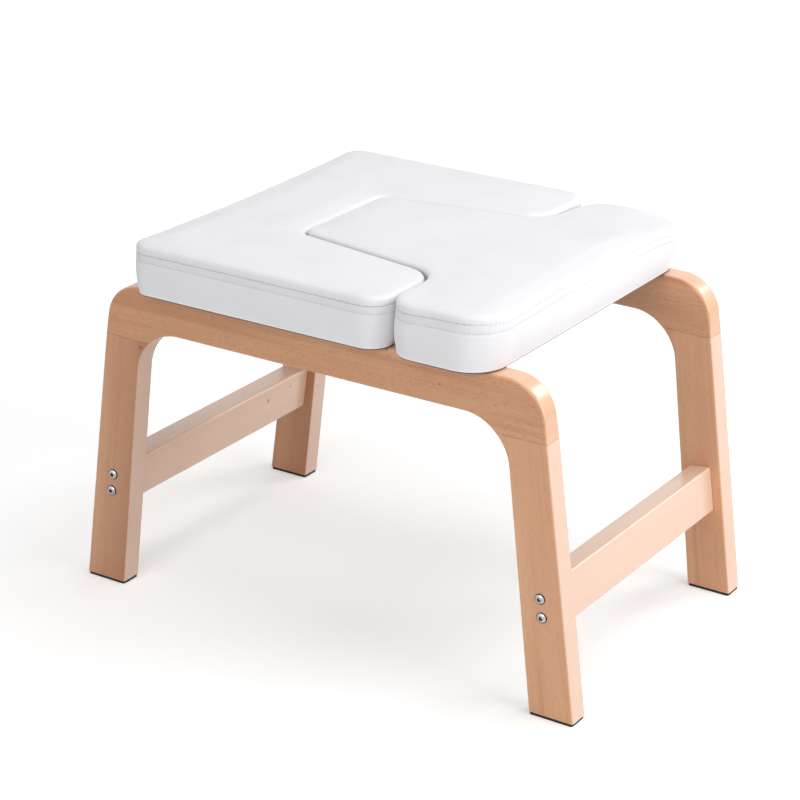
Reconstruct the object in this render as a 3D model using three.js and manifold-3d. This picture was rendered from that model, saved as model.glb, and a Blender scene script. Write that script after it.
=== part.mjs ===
// Yoga headstand stool: two arched side frames of beech tied by two stretchers, a U-shaped
// shoulder cushion bolted to the rails, and a T-shaped head cushion that lifts out of the U.
// Millimetres, +Z up. The origin lies on the floor under the middle of the frame.
// +X is the head end, where the U opens, and +Y is the left side of the stool.

import * as THREE from 'three';
import { mergeVertices } from 'three/addons/utils/BufferGeometryUtils.js';
import Module from 'manifold-3d';

const wasm = await Module();
wasm.setup();

// Frame
const stoolLength = 604; // over the feet
const frameWidth = 363; // over the outer faces of the side frames
const railTopHeight = 346; // floor to the seat of the cushions
const railHeight = 45;
const stockThickness = 25;
const legTopWidth = 44; // along X, at the underside of the rail
const legFootWidth = 49.5; // along X, at the floor
const legSplay = 46.5; // how far a foot stands out beyond its corner at rail top height
const outerCornerRadius = 42;
const innerCornerRadius = 52;
const legJointDrop = 13.5; // from the rail's underside down to the glue line
const edgeRadius = 2.5; // round-over on the long edges of the frame boards
const footThickness = 3;
const footInset = 0.6; // how far a foot pad stays inside the leg's outline
const footCornerRadius = 2;

// Loose tenons hidden in the glue joints
const tenonWidth = 26;
const tenonThickness = 8;
const tenonLength = 40;

// Stretchers and their bolts
const stretcherHeight = 49.5;
const stretcherCentreHeight = 118;
const boltSpacing = 19.5; // between the two bolts of one stretcher end
const boltDiameter = 6;
const boltHeadDiameter = 10.5;
const boltHeadHeight = 3.3;
const boltSocketAcrossFlats = 4;
const boltSocketDepth = 2.1;
const counterboreDiameter = 12;
const counterboreDepth = 1.2;
const stretcherBoltLength = 36; // under the head
const sleeveDiameter = 10; // threaded sleeve screwed into the stretcher's end
const sleeveLength = 18;
const sleeveFlangeDiameter = 12.5;
const sleeveFlangeThickness = 1.4;

// Cushions in plan
const cushionOverhang = 21; // how far the seams stand out past the side frames
const cushionRearX = -214.5; // rear edge of the shoulder cushion
const cushionFrontX = 208.5; // front edge of the head cushion
const armEndX = 89; // where the arms of the U end
const cushionGap = 2.6; // between the two cushions
const slotEndX = -92; // closed end of the slot
const slotEndHalfWidth = 75;
const slotMouthHalfWidth = 106;
const slotEndRadius = 13;
const mouthRadius = 35;
const armCornerRadius = 26;
const rearCornerRadius = 20;
const barRearRadius = 30;
const barFrontRadius = 41;
const leastCornerRadius = 2.5;

// Cushions in height
const shoulderHeight = 56; // rail top to the top of the shoulder cushion's crown
const headHeight = 55; // the same for the head cushion
const seamRise = 46; // rail top to the seam round the top panel
const boardThickness = 12;
const coverThickness = 1.2;
const clothThickness = 0.8;
const clothInset = 9;
const hemWidth = 19;
const wallDepth = 5; // seam outline to the inner face of the cover's sides
const wallFlare = 3.5; // how far the hem stands in from the seam
const wallBelly = 1; // how far the sides swell between hem and seam
const seamDepth = 1.1;
const seamGrooveHalfHeight = 1.7;
const stitchDrop = 8; // from the seam down to the topstitched row
const stitchDepth = 0.6;
const foamSlack = 0.5; // cover to foam along the crown

// What fastens the shoulder cushion
const padBoltRearX = -165;
const padBoltFrontX = 40;
const padBoltRecessDiameter = 13;
const padBoltRecessDepth = 20;
const padBoltLength = 38; // under the head
const teeNutBarrelDiameter = 8;
const teeNutBarrelLength = 9;
const teeNutFlangeDiameter = 18;
const teeNutFlangeThickness = 1.4;

// Ledge under the closed end of the slot, which carries the tip of the head cushion
const ledgeThickness = 12;
const ledgeReach = 20; // under the head cushion
const ledgeHold = 42; // under the shoulder cushion
const ledgeHalfWidth = 52;
const ledgeEdgeRadius = 4;
const ledgeScrewSetback = 31; // from the slot's closed end
const ledgeScrewSpacing = 36;
const screwDiameter = 4;
const screwHeadDiameter = 8;
const screwHeadHeight = 2.6;
const screwBoardDepth = 9;

// Locating pins under the head cushion
const pinDiameter = 8;
const pinRearX = 126;
const pinFrontX = 172;
const pinBoardDepth = 9;
const pinReach = 15; // into the rail
const pinTipChamfer = 1.5;
const pinHoleSpareDepth = 2;

// Clearances
const fitGap = 0.3; // between pieces that seat on or in each other
const pinSlip = 0.4; // round a pin that slides out of its hole
const cutOverrun = 8; // how far a cutting tool runs past the face it leaves

// Facets
const cornerSteps = 8;
const cushionCornerSteps = 5;
const edgeSteps = 2;
const roundSteps = 12;
const domeSteps = 4;
const socketSides = 6;

// Shares
const crownReachShare = 0.85; // how far in the crown keeps rising, of half an arm's foam width
const crownInsetShares = [1, 0.6, 0.32, 0.14, 0.05]; // of crownReach, from the middle outwards
const foamInsetShares = [1, 0.42, 0.16];
const crownPower = 9; // how far out the crown stays full
const crownEdgePower = 0.5; // how steeply the crown leaves the seam
const sideHeightShares = [0.7, 0.48, 0.24, 0.07]; // of hem to seam, downwards
const edgeDrawShare = 0.012; // how far a free edge of the seam is drawn in, of its length
const domeRimShare = 0.3; // straight rim of a bolt head, of its height

// Finishes, from the photograph
const finishes = {
  beechRail: { color: 0xc8956c, roughness: 0.38, metalness: 0 },
  beechLeg: { color: 0xcf9f78, roughness: 0.4, metalness: 0 },
  beechPlain: { color: 0xd0a57e, roughness: 0.6, metalness: 0 },
  plywood: { color: 0xc9a97e, roughness: 0.75, metalness: 0 },
  leather: { color: 0xf0eff4, roughness: 0.45, metalness: 0 },
  foam: { color: 0xe9dfc2, roughness: 0.95, metalness: 0 },
  cloth: { color: 0x1d1d1f, roughness: 0.95, metalness: 0 },
  steel: { color: 0xc6c7c9, roughness: 0.22, metalness: 1 },
  zinc: { color: 0xa9adb2, roughness: 0.4, metalness: 1 },
  rubber: { color: 0x141415, roughness: 0.85, metalness: 0 },
};

// Frame values worked out from the sizes
const sideY = (frameWidth - stockThickness) / 2; // middle plane of a side frame
const leanSlope = legSplay / railTopHeight;
const leanAngle = Math.atan(leanSlope);
const railBottomHeight = railTopHeight - railHeight;
const legJointHeight = railBottomHeight - legJointDrop;
const legBottomHeight = footThickness + fitGap;

/** X of a leg's outer edge at a height. */
const legOuterX = (height) => stoolLength / 2 - leanSlope * height;

/** Width of a leg along X at a height. */
const legWidth = (height) => legFootWidth - (legFootWidth - legTopWidth) * (height / railBottomHeight);

/** X of a leg's centre line at a height. */
const legCentreX = (height) => legOuterX(height) - legWidth(height) / 2;

// Cushion values worked out from the sizes
const cushionWidth = frameWidth + 2 * cushionOverhang;
const clothBottom = railTopHeight + fitGap;
const hemBottom = clothBottom + clothThickness + fitGap;
const boardBottom = hemBottom + coverThickness + fitGap;
const boardTop = boardBottom + boardThickness;
const foamBottom = boardTop + fitGap;
const seamHeight = railTopHeight + seamRise;
const liningInset = wallDepth + seamDepth + coverThickness;
const armEndWidth = cushionWidth / 2 - slotMouthHalfWidth;
const crownReach = crownReachShare * (armEndWidth / 2 - liningInset);
const slotFlare = (slotMouthHalfWidth - slotEndHalfWidth) / (armEndX - slotEndX);
const headGapAcross = cushionGap * Math.hypot(1, slotFlare); // the gap measured along Y

/** Half width of the slot at a place along X. */
const slotHalfWidth = (x) => slotEndHalfWidth + slotFlare * (x - slotEndX);

// The ends and sides of the stool, for the loops below
const ends = [
  { name: 'front', sign: 1, padBoltX: padBoltFrontX, pinX: pinFrontX },
  { name: 'rear', sign: -1, padBoltX: padBoltRearX, pinX: pinRearX },
];
const sides = [
  { name: 'right', sign: -1 },
  { name: 'left', sign: 1 },
];
const levels = [
  { name: 'upper', rise: boltSpacing / 2 },
  { name: 'lower', rise: -boltSpacing / 2 },
];

/** A closed three.js geometry as a solid that can be cut. */
function solidOf(geometry) {
  const plain = geometry.clone();
  plain.deleteAttribute('normal');
  plain.deleteAttribute('uv');
  const merged = mergeVertices(plain);
  const mesh = new wasm.Mesh({
    numProp: 3,
    vertProperties: new Float32Array(merged.attributes.position.array),
    triVerts: new Uint32Array(merged.index.array),
  });
  return new wasm.Manifold(mesh);
}

/** A cut solid as a three.js geometry again. */
function geometryOf(solid) {
  const mesh = solid.getMesh();
  const geometry = new THREE.BufferGeometry();
  geometry.setAttribute('position', new THREE.BufferAttribute(mesh.vertProperties, 3));
  geometry.setIndex(new THREE.BufferAttribute(mesh.triVerts, 1));
  geometry.computeVertexNormals();
  return geometry;
}

/** The body of a geometry less the cutting geometries. */
function cut(geometry, cutters) {
  let solid = solidOf(geometry);
  for (const cutter of cutters) {
    solid = solid.subtract(solidOf(cutter));
  }
  return geometryOf(solid);
}

/** A box between two corners. */
function boxBetween(low, high) {
  const size = new THREE.Vector3().subVectors(high, low);
  const centre = new THREE.Vector3().addVectors(high, low).multiplyScalar(0.5);
  const box = new THREE.BoxGeometry(size.x, size.y, size.z);
  return box.translate(centre.x, centre.y, centre.z);
}

/** An upright round bar between two heights. */
function uprightBar(x, y, radius, low, high) {
  const bar = new THREE.CylinderGeometry(radius, radius, high - low, roundSteps);
  bar.rotateX(Math.PI / 2);
  return bar.translate(x, y, (low + high) / 2);
}

/** A round bar along Y between two places. */
function crossBar(x, z, radius, from, to) {
  const bar = new THREE.CylinderGeometry(radius, radius, Math.abs(to - from), roundSteps);
  return bar.translate(x, (from + to) / 2, z);
}

/** One corner of an outline, with its radius. Free corners face away from the other cushion. */
const corner = (x, y, radius = 0, free = false) => ({ at: new THREE.Vector2(x, y), radius, free });

/** The same corner mirrored across the X axis. */
const mirrored = ({ at, radius, free }) => corner(at.x, -at.y, radius, free);

/** The corners of a counter-clockwise outline as arcs, moved into the material by an inset. */
function cornerArcs(corners, steps, inset = 0) {
  const count = corners.length;
  const directions = corners.map(({ at }, i) => corners[(i + 1) % count].at.clone().sub(at).normalize());
  return corners.map(({ at, radius }, i) => {
    const before = directions[(i + count - 1) % count];
    const after = directions[i];
    const normalBefore = new THREE.Vector2(-before.y, before.x);
    const normalAfter = new THREE.Vector2(-after.y, after.x);
    const inward = normalBefore.clone().add(normalAfter).divideScalar(1 + normalBefore.dot(normalAfter));
    const tip = at.clone().addScaledVector(inward, inset);
    if (radius === 0) {
      return [tip];
    }
    const turn = Math.atan2(before.cross(after), before.dot(after));
    const side = Math.sign(turn);
    const rounded = side > 0 ? Math.max(radius - inset, leastCornerRadius) : radius + inset;
    const centre = tip.clone().addScaledVector(inward, side * rounded);
    const start = centre.clone().addScaledVector(normalBefore, -side * rounded);
    const arc = [];
    for (let step = 0; step <= steps; step += 1) {
      arc.push(start.clone().rotateAround(centre, (turn * step) / steps));
    }
    return arc;
  });
}

/** The outline of a rectangle round the origin with rounded corners. */
function roundedBox(halfX, halfY, radius) {
  const signs = [[-1, -1], [1, -1], [1, 1], [-1, 1]];
  const corners = signs.map(([signX, signY]) => corner(signX * halfX, signY * halfY, radius));
  return cornerArcs(corners, domeSteps).flat();
}

/** A cushion's outline at an inset, its free edges drawn in midway by a share of their length. */
function cushionOutline(corners, inset, drawShare = 0) {
  const arcs = cornerArcs(corners, cushionCornerSteps, inset);
  return arcs.flatMap((arc, i) => {
    const next = (i + 1) % arcs.length;
    const from = arc[arc.length - 1];
    const to = arcs[next][0];
    const edge = to.clone().sub(from);
    const middle = from.clone().addScaledVector(edge, 0.5);
    if (corners[i].free && corners[next].free) {
      middle.addScaledVector(new THREE.Vector2(-edge.y, edge.x), drawShare);
    }
    return [...arc, middle];
  });
}

/** A flat plate with the given outline between two heights. */
function plate(points, low, high) {
  const extruded = new THREE.ExtrudeGeometry(new THREE.Shape(points), {
    depth: high - low,
    bevelEnabled: false,
  });
  return extruded.translate(0, 0, low);
}

/** A closed body through rings of equal point count, with its first and last ring capped. */
function loft(rings) {
  const size = rings[0].length;
  const positions = rings.flatMap((ring) => ring.flatMap((point) => [point.x, point.y, point.z]));
  const indices = [];
  for (let level = 0; level + 1 < rings.length; level += 1) {
    for (let i = 0; i < size; i += 1) {
      const next = (i + 1) % size;
      const upper = level * size;
      const lower = upper + size;
      indices.push(upper + i, lower + i, lower + next);
      indices.push(upper + i, lower + next, upper + next);
    }
  }
  const flat = (ring) => ring.map((point) => new THREE.Vector2(point.x, point.y));
  const last = (rings.length - 1) * size;
  for (const [a, b, c] of THREE.ShapeUtils.triangulateShape(flat(rings[0]), [])) {
    indices.push(a, b, c);
  }
  for (const [a, b, c] of THREE.ShapeUtils.triangulateShape(flat(rings[rings.length - 1]), [])) {
    indices.push(last + a, last + c, last + b);
  }
  const geometry = new THREE.BufferGeometry();
  geometry.setAttribute('position', new THREE.Float32BufferAttribute(positions, 3));
  geometry.setIndex(indices);
  geometry.computeVertexNormals();
  return geometry;
}

/** Adds a named piece with its own material to a group. */
function addPiece(group, name, geometry, finish) {
  const mesh = new THREE.Mesh(geometry, new THREE.MeshStandardMaterial(finish));
  mesh.name = name;
  group.add(mesh);
  return mesh;
}

/** The whole arch of a side frame, leg to leg, with every long edge rounded over. */
function archBlank() {
  const low = -cutOverrun;
  const outer = (height, radius) => corner(legOuterX(height), height, radius);
  const inner = (height, radius) => corner(legOuterX(height) - legWidth(height), height, radius);
  const front = [inner(railBottomHeight, innerCornerRadius), inner(low), outer(low)];
  front.push(outer(railTopHeight, outerCornerRadius));
  const rear = front.map(({ at, radius }) => corner(-at.x, at.y, radius)).reverse();
  const outline = cornerArcs([...front, ...rear], cornerSteps).flat();
  const arch = new THREE.ExtrudeGeometry(new THREE.Shape(outline), {
    depth: stockThickness - 2 * edgeRadius,
    bevelThickness: edgeRadius,
    bevelSize: edgeRadius,
    bevelOffset: -edgeRadius,
    bevelSegments: edgeSteps,
  });
  arch.translate(0, 0, edgeRadius - stockThickness / 2);
  return arch.rotateX(Math.PI / 2);
}

/** The mortise for the loose tenon between a leg and its rail. */
function mortise(end) {
  const x = end.sign * legCentreX(legJointHeight);
  const tenon = new THREE.Vector3(tenonWidth, tenonThickness, tenonLength);
  const half = tenon.multiplyScalar(0.5).addScalar(fitGap);
  const centre = new THREE.Vector3(x, 0, legJointHeight);
  return boxBetween(centre.clone().sub(half), centre.clone().add(half));
}

/** Where a stretcher's bolt crosses the plane of a side frame. */
function boltPlace(end, level) {
  return {
    x: end.sign * (legCentreX(stretcherCentreHeight) - level.rise * Math.sin(leanAngle)),
    z: stretcherCentreHeight + level.rise * Math.cos(leanAngle),
  };
}

/** One top rail with both its corners, in its side frame's own plane. */
function railGeometry() {
  const low = new THREE.Vector3(-stoolLength, -stockThickness, legJointHeight + fitGap / 2);
  const high = new THREE.Vector3(stoolLength, stockThickness, railTopHeight + cutOverrun);
  const rail = solidOf(archBlank()).intersect(solidOf(boxBetween(low, high)));
  const cutters = ends.flatMap((end) => {
    const hole = boltDiameter / 2 + fitGap;
    const recess = padBoltRecessDiameter / 2;
    const recessTop = railBottomHeight + padBoltRecessDepth;
    const pinHole = pinDiameter / 2 + pinSlip;
    const pinBottom = railTopHeight - pinReach - pinHoleSpareDepth;
    const past = railTopHeight + cutOverrun;
    return [
      mortise(end),
      uprightBar(end.padBoltX, 0, hole, railBottomHeight, past),
      uprightBar(end.padBoltX, 0, recess, railBottomHeight - cutOverrun, recessTop),
      uprightBar(end.pinX, 0, pinHole, pinBottom, past),
    ];
  });
  return cut(geometryOf(rail), cutters);
}

/** One leg, from its foot to the glue line, bored for its two stretcher bolts. */
function legGeometry(end, side) {
  const near = new THREE.Vector3(0, -stockThickness, legBottomHeight);
  const top = legJointHeight - fitGap / 2;
  const far = new THREE.Vector3(end.sign * stoolLength, stockThickness, top);
  const low = near.clone().min(far);
  const high = near.clone().max(far);
  const leg = solidOf(archBlank()).intersect(solidOf(boxBetween(low, high)));
  const face = (side.sign * stockThickness) / 2;
  const cutters = levels.flatMap((level) => {
    const { x, z } = boltPlace(end, level);
    const hole = boltDiameter / 2 + fitGap;
    const seat = face - side.sign * counterboreDepth;
    const past = face + side.sign * cutOverrun;
    const counterbore = counterboreDiameter / 2;
    return [crossBar(x, z, hole, -past, past), crossBar(x, z, counterbore, seat, past)];
  });
  return cut(geometryOf(leg), [mortise(end), ...cutters]);
}

/** A loose tenon with rounded ends, standing in its two mortises. */
function tenonGeometry() {
  const radius = tenonThickness / 2 - fitGap;
  const x = tenonWidth / 2;
  const y = tenonThickness / 2;
  return plate(roundedBox(x, y, radius), -tenonLength / 2, tenonLength / 2);
}

/** A rubber foot pad, standing on the floor. */
function footGeometry() {
  const x = legWidth(legBottomHeight) / 2 - footInset;
  const y = stockThickness / 2 - footInset;
  return plate(roundedBox(x, y, footCornerRadius), 0, footThickness);
}

/** A button-head bolt along +Z, its head's seat at zero and its shank below. */
function boltGeometry(length) {
  const head = boltHeadDiameter / 2;
  const rim = boltHeadHeight * domeRimShare;
  const shank = boltDiameter / 2;
  const profile = [new THREE.Vector2(0, -length), new THREE.Vector2(shank, -length)];
  profile.push(new THREE.Vector2(shank, 0), new THREE.Vector2(head, 0));
  for (let step = 0; step < domeSteps; step += 1) {
    const angle = (Math.PI / 2) * (step / domeSteps);
    profile.push(new THREE.Vector2(head * Math.cos(angle), rim + (boltHeadHeight - rim) * Math.sin(angle)));
  }
  profile.push(new THREE.Vector2(0, boltHeadHeight));
  const bolt = new THREE.LatheGeometry(profile, roundSteps).rotateX(Math.PI / 2);
  const socketRadius = boltSocketAcrossFlats / Math.sqrt(3);
  const socketHeight = boltSocketDepth + cutOverrun;
  const socket = new THREE.CylinderGeometry(socketRadius, socketRadius, socketHeight, socketSides);
  socket.rotateX(Math.PI / 2).translate(0, 0, boltHeadHeight - boltSocketDepth + socketHeight / 2);
  return cut(bolt, [socket]);
}

/** A flanged sleeve along +Z: its flange on top at zero, its barrel below, bored for a bolt. */
function sleeveGeometry(barrelDiameter, length, flangeDiameter, flangeThickness) {
  const bore = boltDiameter / 2 + fitGap;
  const barrel = barrelDiameter / 2;
  const flange = flangeDiameter / 2;
  const profile = [
    new THREE.Vector2(bore, -length),
    new THREE.Vector2(barrel, -length),
    new THREE.Vector2(barrel, -flangeThickness),
    new THREE.Vector2(flange, -flangeThickness),
    new THREE.Vector2(flange, 0),
    new THREE.Vector2(bore, 0),
    new THREE.Vector2(bore, -length),
  ];
  return new THREE.LatheGeometry(profile, roundSteps).rotateX(Math.PI / 2);
}

/** A stretcher between the side frames, centred on the origin, bored for its sleeves. */
function stretcherGeometry() {
  const halfLength = frameWidth / 2 - stockThickness - fitGap;
  const section = roundedBox(stockThickness / 2, stretcherHeight / 2, edgeRadius);
  const bar = plate(section, -halfLength, halfLength).rotateX(Math.PI / 2);
  const cutters = sides.flatMap((side) => levels.flatMap((level) => {
    const end = side.sign * halfLength;
    const past = end + side.sign * cutOverrun;
    const bottom = end - side.sign * (sleeveLength + 2 * fitGap);
    const flangeSeat = end - side.sign * (sleeveFlangeThickness + fitGap);
    return [
      crossBar(0, level.rise, sleeveDiameter / 2 + fitGap, bottom, past),
      crossBar(0, level.rise, sleeveFlangeDiameter / 2 + fitGap, flangeSeat, past),
    ];
  }));
  return cut(bar, cutters);
}

/** Both side frames: rails, legs, tenons and feet. */
function sideFrames() {
  const group = new THREE.Group();
  for (const side of sides) {
    const frame = new THREE.Group();
    frame.position.y = side.sign * sideY;
    addPiece(frame, `${side.name}_top_rail`, railGeometry(), finishes.beechRail);
    for (const end of ends) {
      const name = `${side.name}_${end.name}`;
      addPiece(frame, `${name}_leg`, legGeometry(end, side), finishes.beechLeg);
      const tenon = addPiece(frame, `${name}_tenon`, tenonGeometry(), finishes.beechPlain);
      tenon.position.set(end.sign * legCentreX(legJointHeight), 0, legJointHeight);
      const foot = addPiece(frame, `${name}_foot`, footGeometry(), finishes.rubber);
      foot.position.x = end.sign * legCentreX(legBottomHeight);
    }
    group.add(frame);
  }
  return group;
}

/** Both stretchers, leaning with the legs, with the bolts and sleeves that hold them. */
function stretchers() {
  const group = new THREE.Group();
  const faceY = frameWidth / 2 - counterboreDepth; // where a bolt head seats
  const endY = frameWidth / 2 - stockThickness - fitGap;
  for (const end of ends) {
    const crossing = new THREE.Group();
    crossing.position.set(end.sign * legCentreX(stretcherCentreHeight), 0, stretcherCentreHeight);
    crossing.rotation.y = -end.sign * leanAngle;
    addPiece(crossing, `${end.name}_stretcher`, stretcherGeometry(), finishes.beechLeg);
    for (const side of sides) {
      for (const level of levels) {
        const name = `${end.name}_${side.name}_${level.name}`;
        const bolt = addPiece(crossing, `${name}_bolt`, boltGeometry(stretcherBoltLength), finishes.steel);
        bolt.rotation.x = (-side.sign * Math.PI) / 2;
        bolt.position.set(0, side.sign * (faceY + fitGap), level.rise);
        const sleeve = addPiece(
          crossing,
          `${name}_sleeve`,
          sleeveGeometry(sleeveDiameter, sleeveLength, sleeveFlangeDiameter, sleeveFlangeThickness),
          finishes.zinc,
        );
        sleeve.rotation.x = (-side.sign * Math.PI) / 2;
        sleeve.position.set(0, side.sign * endY, level.rise);
      }
    }
    group.add(crossing);
  }
  return group;
}

/** Corners of the shoulder cushion, a U that opens towards +X. */
function shoulderCorners() {
  const y = cushionWidth / 2;
  const outside = [
    corner(armEndX, y, armCornerRadius, true),
    corner(cushionRearX, y, rearCornerRadius, true),
  ];
  const slot = [
    corner(slotEndX, slotEndHalfWidth, slotEndRadius),
    corner(armEndX, slotMouthHalfWidth, mouthRadius),
  ];
  return [
    ...outside,
    ...outside.map(mirrored).reverse(),
    ...slot.map(mirrored).reverse(),
    ...slot,
  ];
}

/** Corners of the head cushion, a T whose stem fills the slot with an even gap. */
function headCorners() {
  const y = cushionWidth / 2;
  const rearX = armEndX + cushionGap;
  const tipX = slotEndX + cushionGap;
  const half = (x) => slotHalfWidth(x) - headGapAcross;
  const left = [
    corner(cushionFrontX, y, barFrontRadius, true),
    corner(rearX, y, barRearRadius, true),
    corner(rearX, half(rearX), mouthRadius + cushionGap),
    corner(tipX, half(tipX), slotEndRadius - cushionGap),
  ];
  return [...left, ...left.map(mirrored).reverse()];
}

/** Rise of a crown above the seam at a share of its reach. */
const crownAt = (share, rise) => rise * (1 - (1 - share) ** crownPower) ** crownEdgePower;

/** A ring of a cushion at an inset and height. The draw grows from the board up to the seam. */
function cushionRing(corners, inset, height) {
  const rise = THREE.MathUtils.clamp((height - boardTop) / (seamHeight - boardTop), 0, 1);
  const outline = cushionOutline(corners, inset, edgeDrawShare * rise);
  return outline.map((point) => new THREE.Vector3(point.x, point.y, height));
}

/** A sewn cover: crowned top panel, seam, topstitched sides, and a hem turned in under the board. */
function coverGeometry(corners, crownRise) {
  const ring = (inset, height) => cushionRing(corners, inset, height);
  const sideHeight = seamHeight - hemBottom;
  const sideInset = (share) => wallFlare * (1 - share) - wallBelly * Math.sin(Math.PI * share);
  const stitchShare = 1 - stitchDrop / sideHeight;
  const hemTop = hemBottom + coverThickness;
  const lip = seamHeight + seamGrooveHalfHeight;
  const crown = crownInsetShares.map((share) => (
    ring(crownReach * share, lip + crownAt(share, crownRise - seamGrooveHalfHeight))
  ));
  const seam = [
    ring(seamDepth, seamHeight),
    ring(0, seamHeight - seamGrooveHalfHeight),
    ring(sideInset(stitchShare) + stitchDepth, seamHeight - stitchDrop),
  ];
  const walls = sideHeightShares.map((share) => ring(sideInset(share), hemBottom + sideHeight * share));
  const hem = [
    ring(wallFlare + coverThickness, hemBottom),
    ring(hemWidth, hemBottom),
    ring(hemWidth, hemTop),
    ring(wallDepth, hemTop),
    ring(wallDepth, boardTop),
    ring(wallDepth + seamDepth, seamHeight - coverThickness),
  ];
  const lining = foamInsetShares.map((share) => (
    ring(liningInset + crownReach * share, seamHeight + crownAt(share, crownRise) - coverThickness)
  ));
  return loft([...crown, ...seam, ...walls, ...hem, ...lining.reverse()]);
}

/** The foam block under a cover, crowned like it and cut straight down from its shoulder. */
function foamGeometry(corners, crownRise) {
  const inset = wallDepth + seamDepth + fitGap;
  const top = seamHeight - coverThickness - foamSlack;
  const crown = foamInsetShares.map((share) => {
    const crownInset = liningInset + fitGap + crownReach * share;
    return cushionRing(corners, crownInset, top + crownAt(share, crownRise));
  });
  const shoulder = cushionRing(corners, inset, top);
  const base = shoulder.map((point) => new THREE.Vector3(point.x, point.y, foamBottom));
  return loft([...crown, shoulder, base]);
}

/** Outline of the plywood board inside a cover. */
const boardOutline = (corners) => cushionOutline(corners, wallDepth + fitGap);

/** The shoulder cushion and all that fastens it to the frame. */
function shoulderCushion() {
  const group = new THREE.Group();
  const corners = shoulderCorners();
  const boltHole = boltDiameter / 2 + fitGap;
  const seats = sides.flatMap((side) => ends.map((end) => ({
    name: `${side.name}_${end.name}`,
    x: end.padBoltX,
    y: side.sign * sideY,
  })));
  const screws = ['right', 'middle', 'left'].map((name, i) => ({
    name,
    x: slotEndX - ledgeScrewSetback,
    y: (i - 1) * ledgeScrewSpacing,
  }));
  const screwHole = screwDiameter / 2 + fitGap;

  const board = plate(boardOutline(corners), boardBottom, boardTop);
  const flangeSeat = boardTop - teeNutFlangeThickness - fitGap;
  const boardCutters = seats.flatMap(({ x, y }) => [
    uprightBar(x, y, teeNutBarrelDiameter / 2 + fitGap, boardBottom - cutOverrun, boardTop),
    uprightBar(x, y, teeNutFlangeDiameter / 2 + fitGap, flangeSeat, boardTop + cutOverrun),
  ]);
  const pilotTop = boardBottom + screwBoardDepth + fitGap;
  for (const { x, y } of screws) {
    boardCutters.push(uprightBar(x, y, screwHole, boardBottom - cutOverrun, pilotTop));
  }
  addPiece(group, 'shoulder_board', cut(board, boardCutters), finishes.plywood);
  const crownRise = shoulderHeight - seamRise;
  addPiece(group, 'shoulder_foam', foamGeometry(corners, crownRise), finishes.foam);
  addPiece(group, 'shoulder_cover', coverGeometry(corners, crownRise), finishes.leather);

  const cloth = plate(cushionOutline(corners, clothInset), clothBottom, clothBottom + clothThickness);
  const clothCutters = [
    ...seats.map(({ x, y }) => uprightBar(x, y, boltHole, railTopHeight, boardTop)),
    ...screws.map(({ x, y }) => uprightBar(x, y, screwHole, railTopHeight, boardTop)),
  ];
  addPiece(group, 'shoulder_dust_cloth', cut(cloth, clothCutters), finishes.cloth);

  const seatHeight = railBottomHeight + padBoltRecessDepth - fitGap;
  for (const { name, x, y } of seats) {
    const bolt = addPiece(group, `${name}_pad_bolt`, boltGeometry(padBoltLength), finishes.zinc);
    bolt.rotation.x = Math.PI;
    bolt.position.set(x, y, seatHeight);
    const nut = addPiece(
      group,
      `${name}_tee_nut`,
      sleeveGeometry(teeNutBarrelDiameter, teeNutBarrelLength, teeNutFlangeDiameter, teeNutFlangeThickness),
      finishes.zinc,
    );
    nut.position.set(x, y, boardTop);
  }

  const ledgeTop = railTopHeight;
  const ledgeBottom = ledgeTop - ledgeThickness;
  const [rear, front] = [slotEndX - ledgeHold, slotEndX + ledgeReach];
  const ledgeOutline = cornerArcs([
    corner(rear, -ledgeHalfWidth, ledgeEdgeRadius),
    corner(front, -ledgeHalfWidth, ledgeEdgeRadius),
    corner(front, ledgeHalfWidth, ledgeEdgeRadius),
    corner(rear, ledgeHalfWidth, ledgeEdgeRadius),
  ], domeSteps).flat();
  const ledgeCutters = screws.flatMap(({ x, y }) => [
    uprightBar(x, y, screwHole, ledgeBottom - cutOverrun, ledgeTop + cutOverrun),
    uprightBar(x, y, screwHeadDiameter / 2 + fitGap, ledgeBottom - cutOverrun, ledgeBottom + screwHeadHeight),
  ]);
  const ledge = cut(plate(ledgeOutline, ledgeBottom, ledgeTop), ledgeCutters);
  addPiece(group, 'support_ledge', ledge, finishes.plywood);
  for (const { name, x, y } of screws) {
    const screw = addPiece(group, `${name}_ledge_screw`, screwGeometry(), finishes.zinc);
    screw.position.set(x, y, ledgeBottom + screwHeadHeight - fitGap);
  }
  return group;
}

/** A flat-head wood screw pointing up, the seat of its head at zero. */
function screwGeometry() {
  const head = screwHeadDiameter / 2;
  const shank = screwDiameter / 2;
  const seat = boardBottom - (railTopHeight - ledgeThickness + screwHeadHeight - fitGap);
  const length = seat + screwBoardDepth;
  const profile = [
    new THREE.Vector2(0, -screwHeadHeight + fitGap),
    new THREE.Vector2(head, -screwHeadHeight + fitGap),
    new THREE.Vector2(head, 0),
    new THREE.Vector2(shank, 0),
    new THREE.Vector2(shank, length - screwDiameter),
    new THREE.Vector2(0, length),
  ];
  return new THREE.LatheGeometry(profile, roundSteps).rotateX(Math.PI / 2);
}

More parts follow.
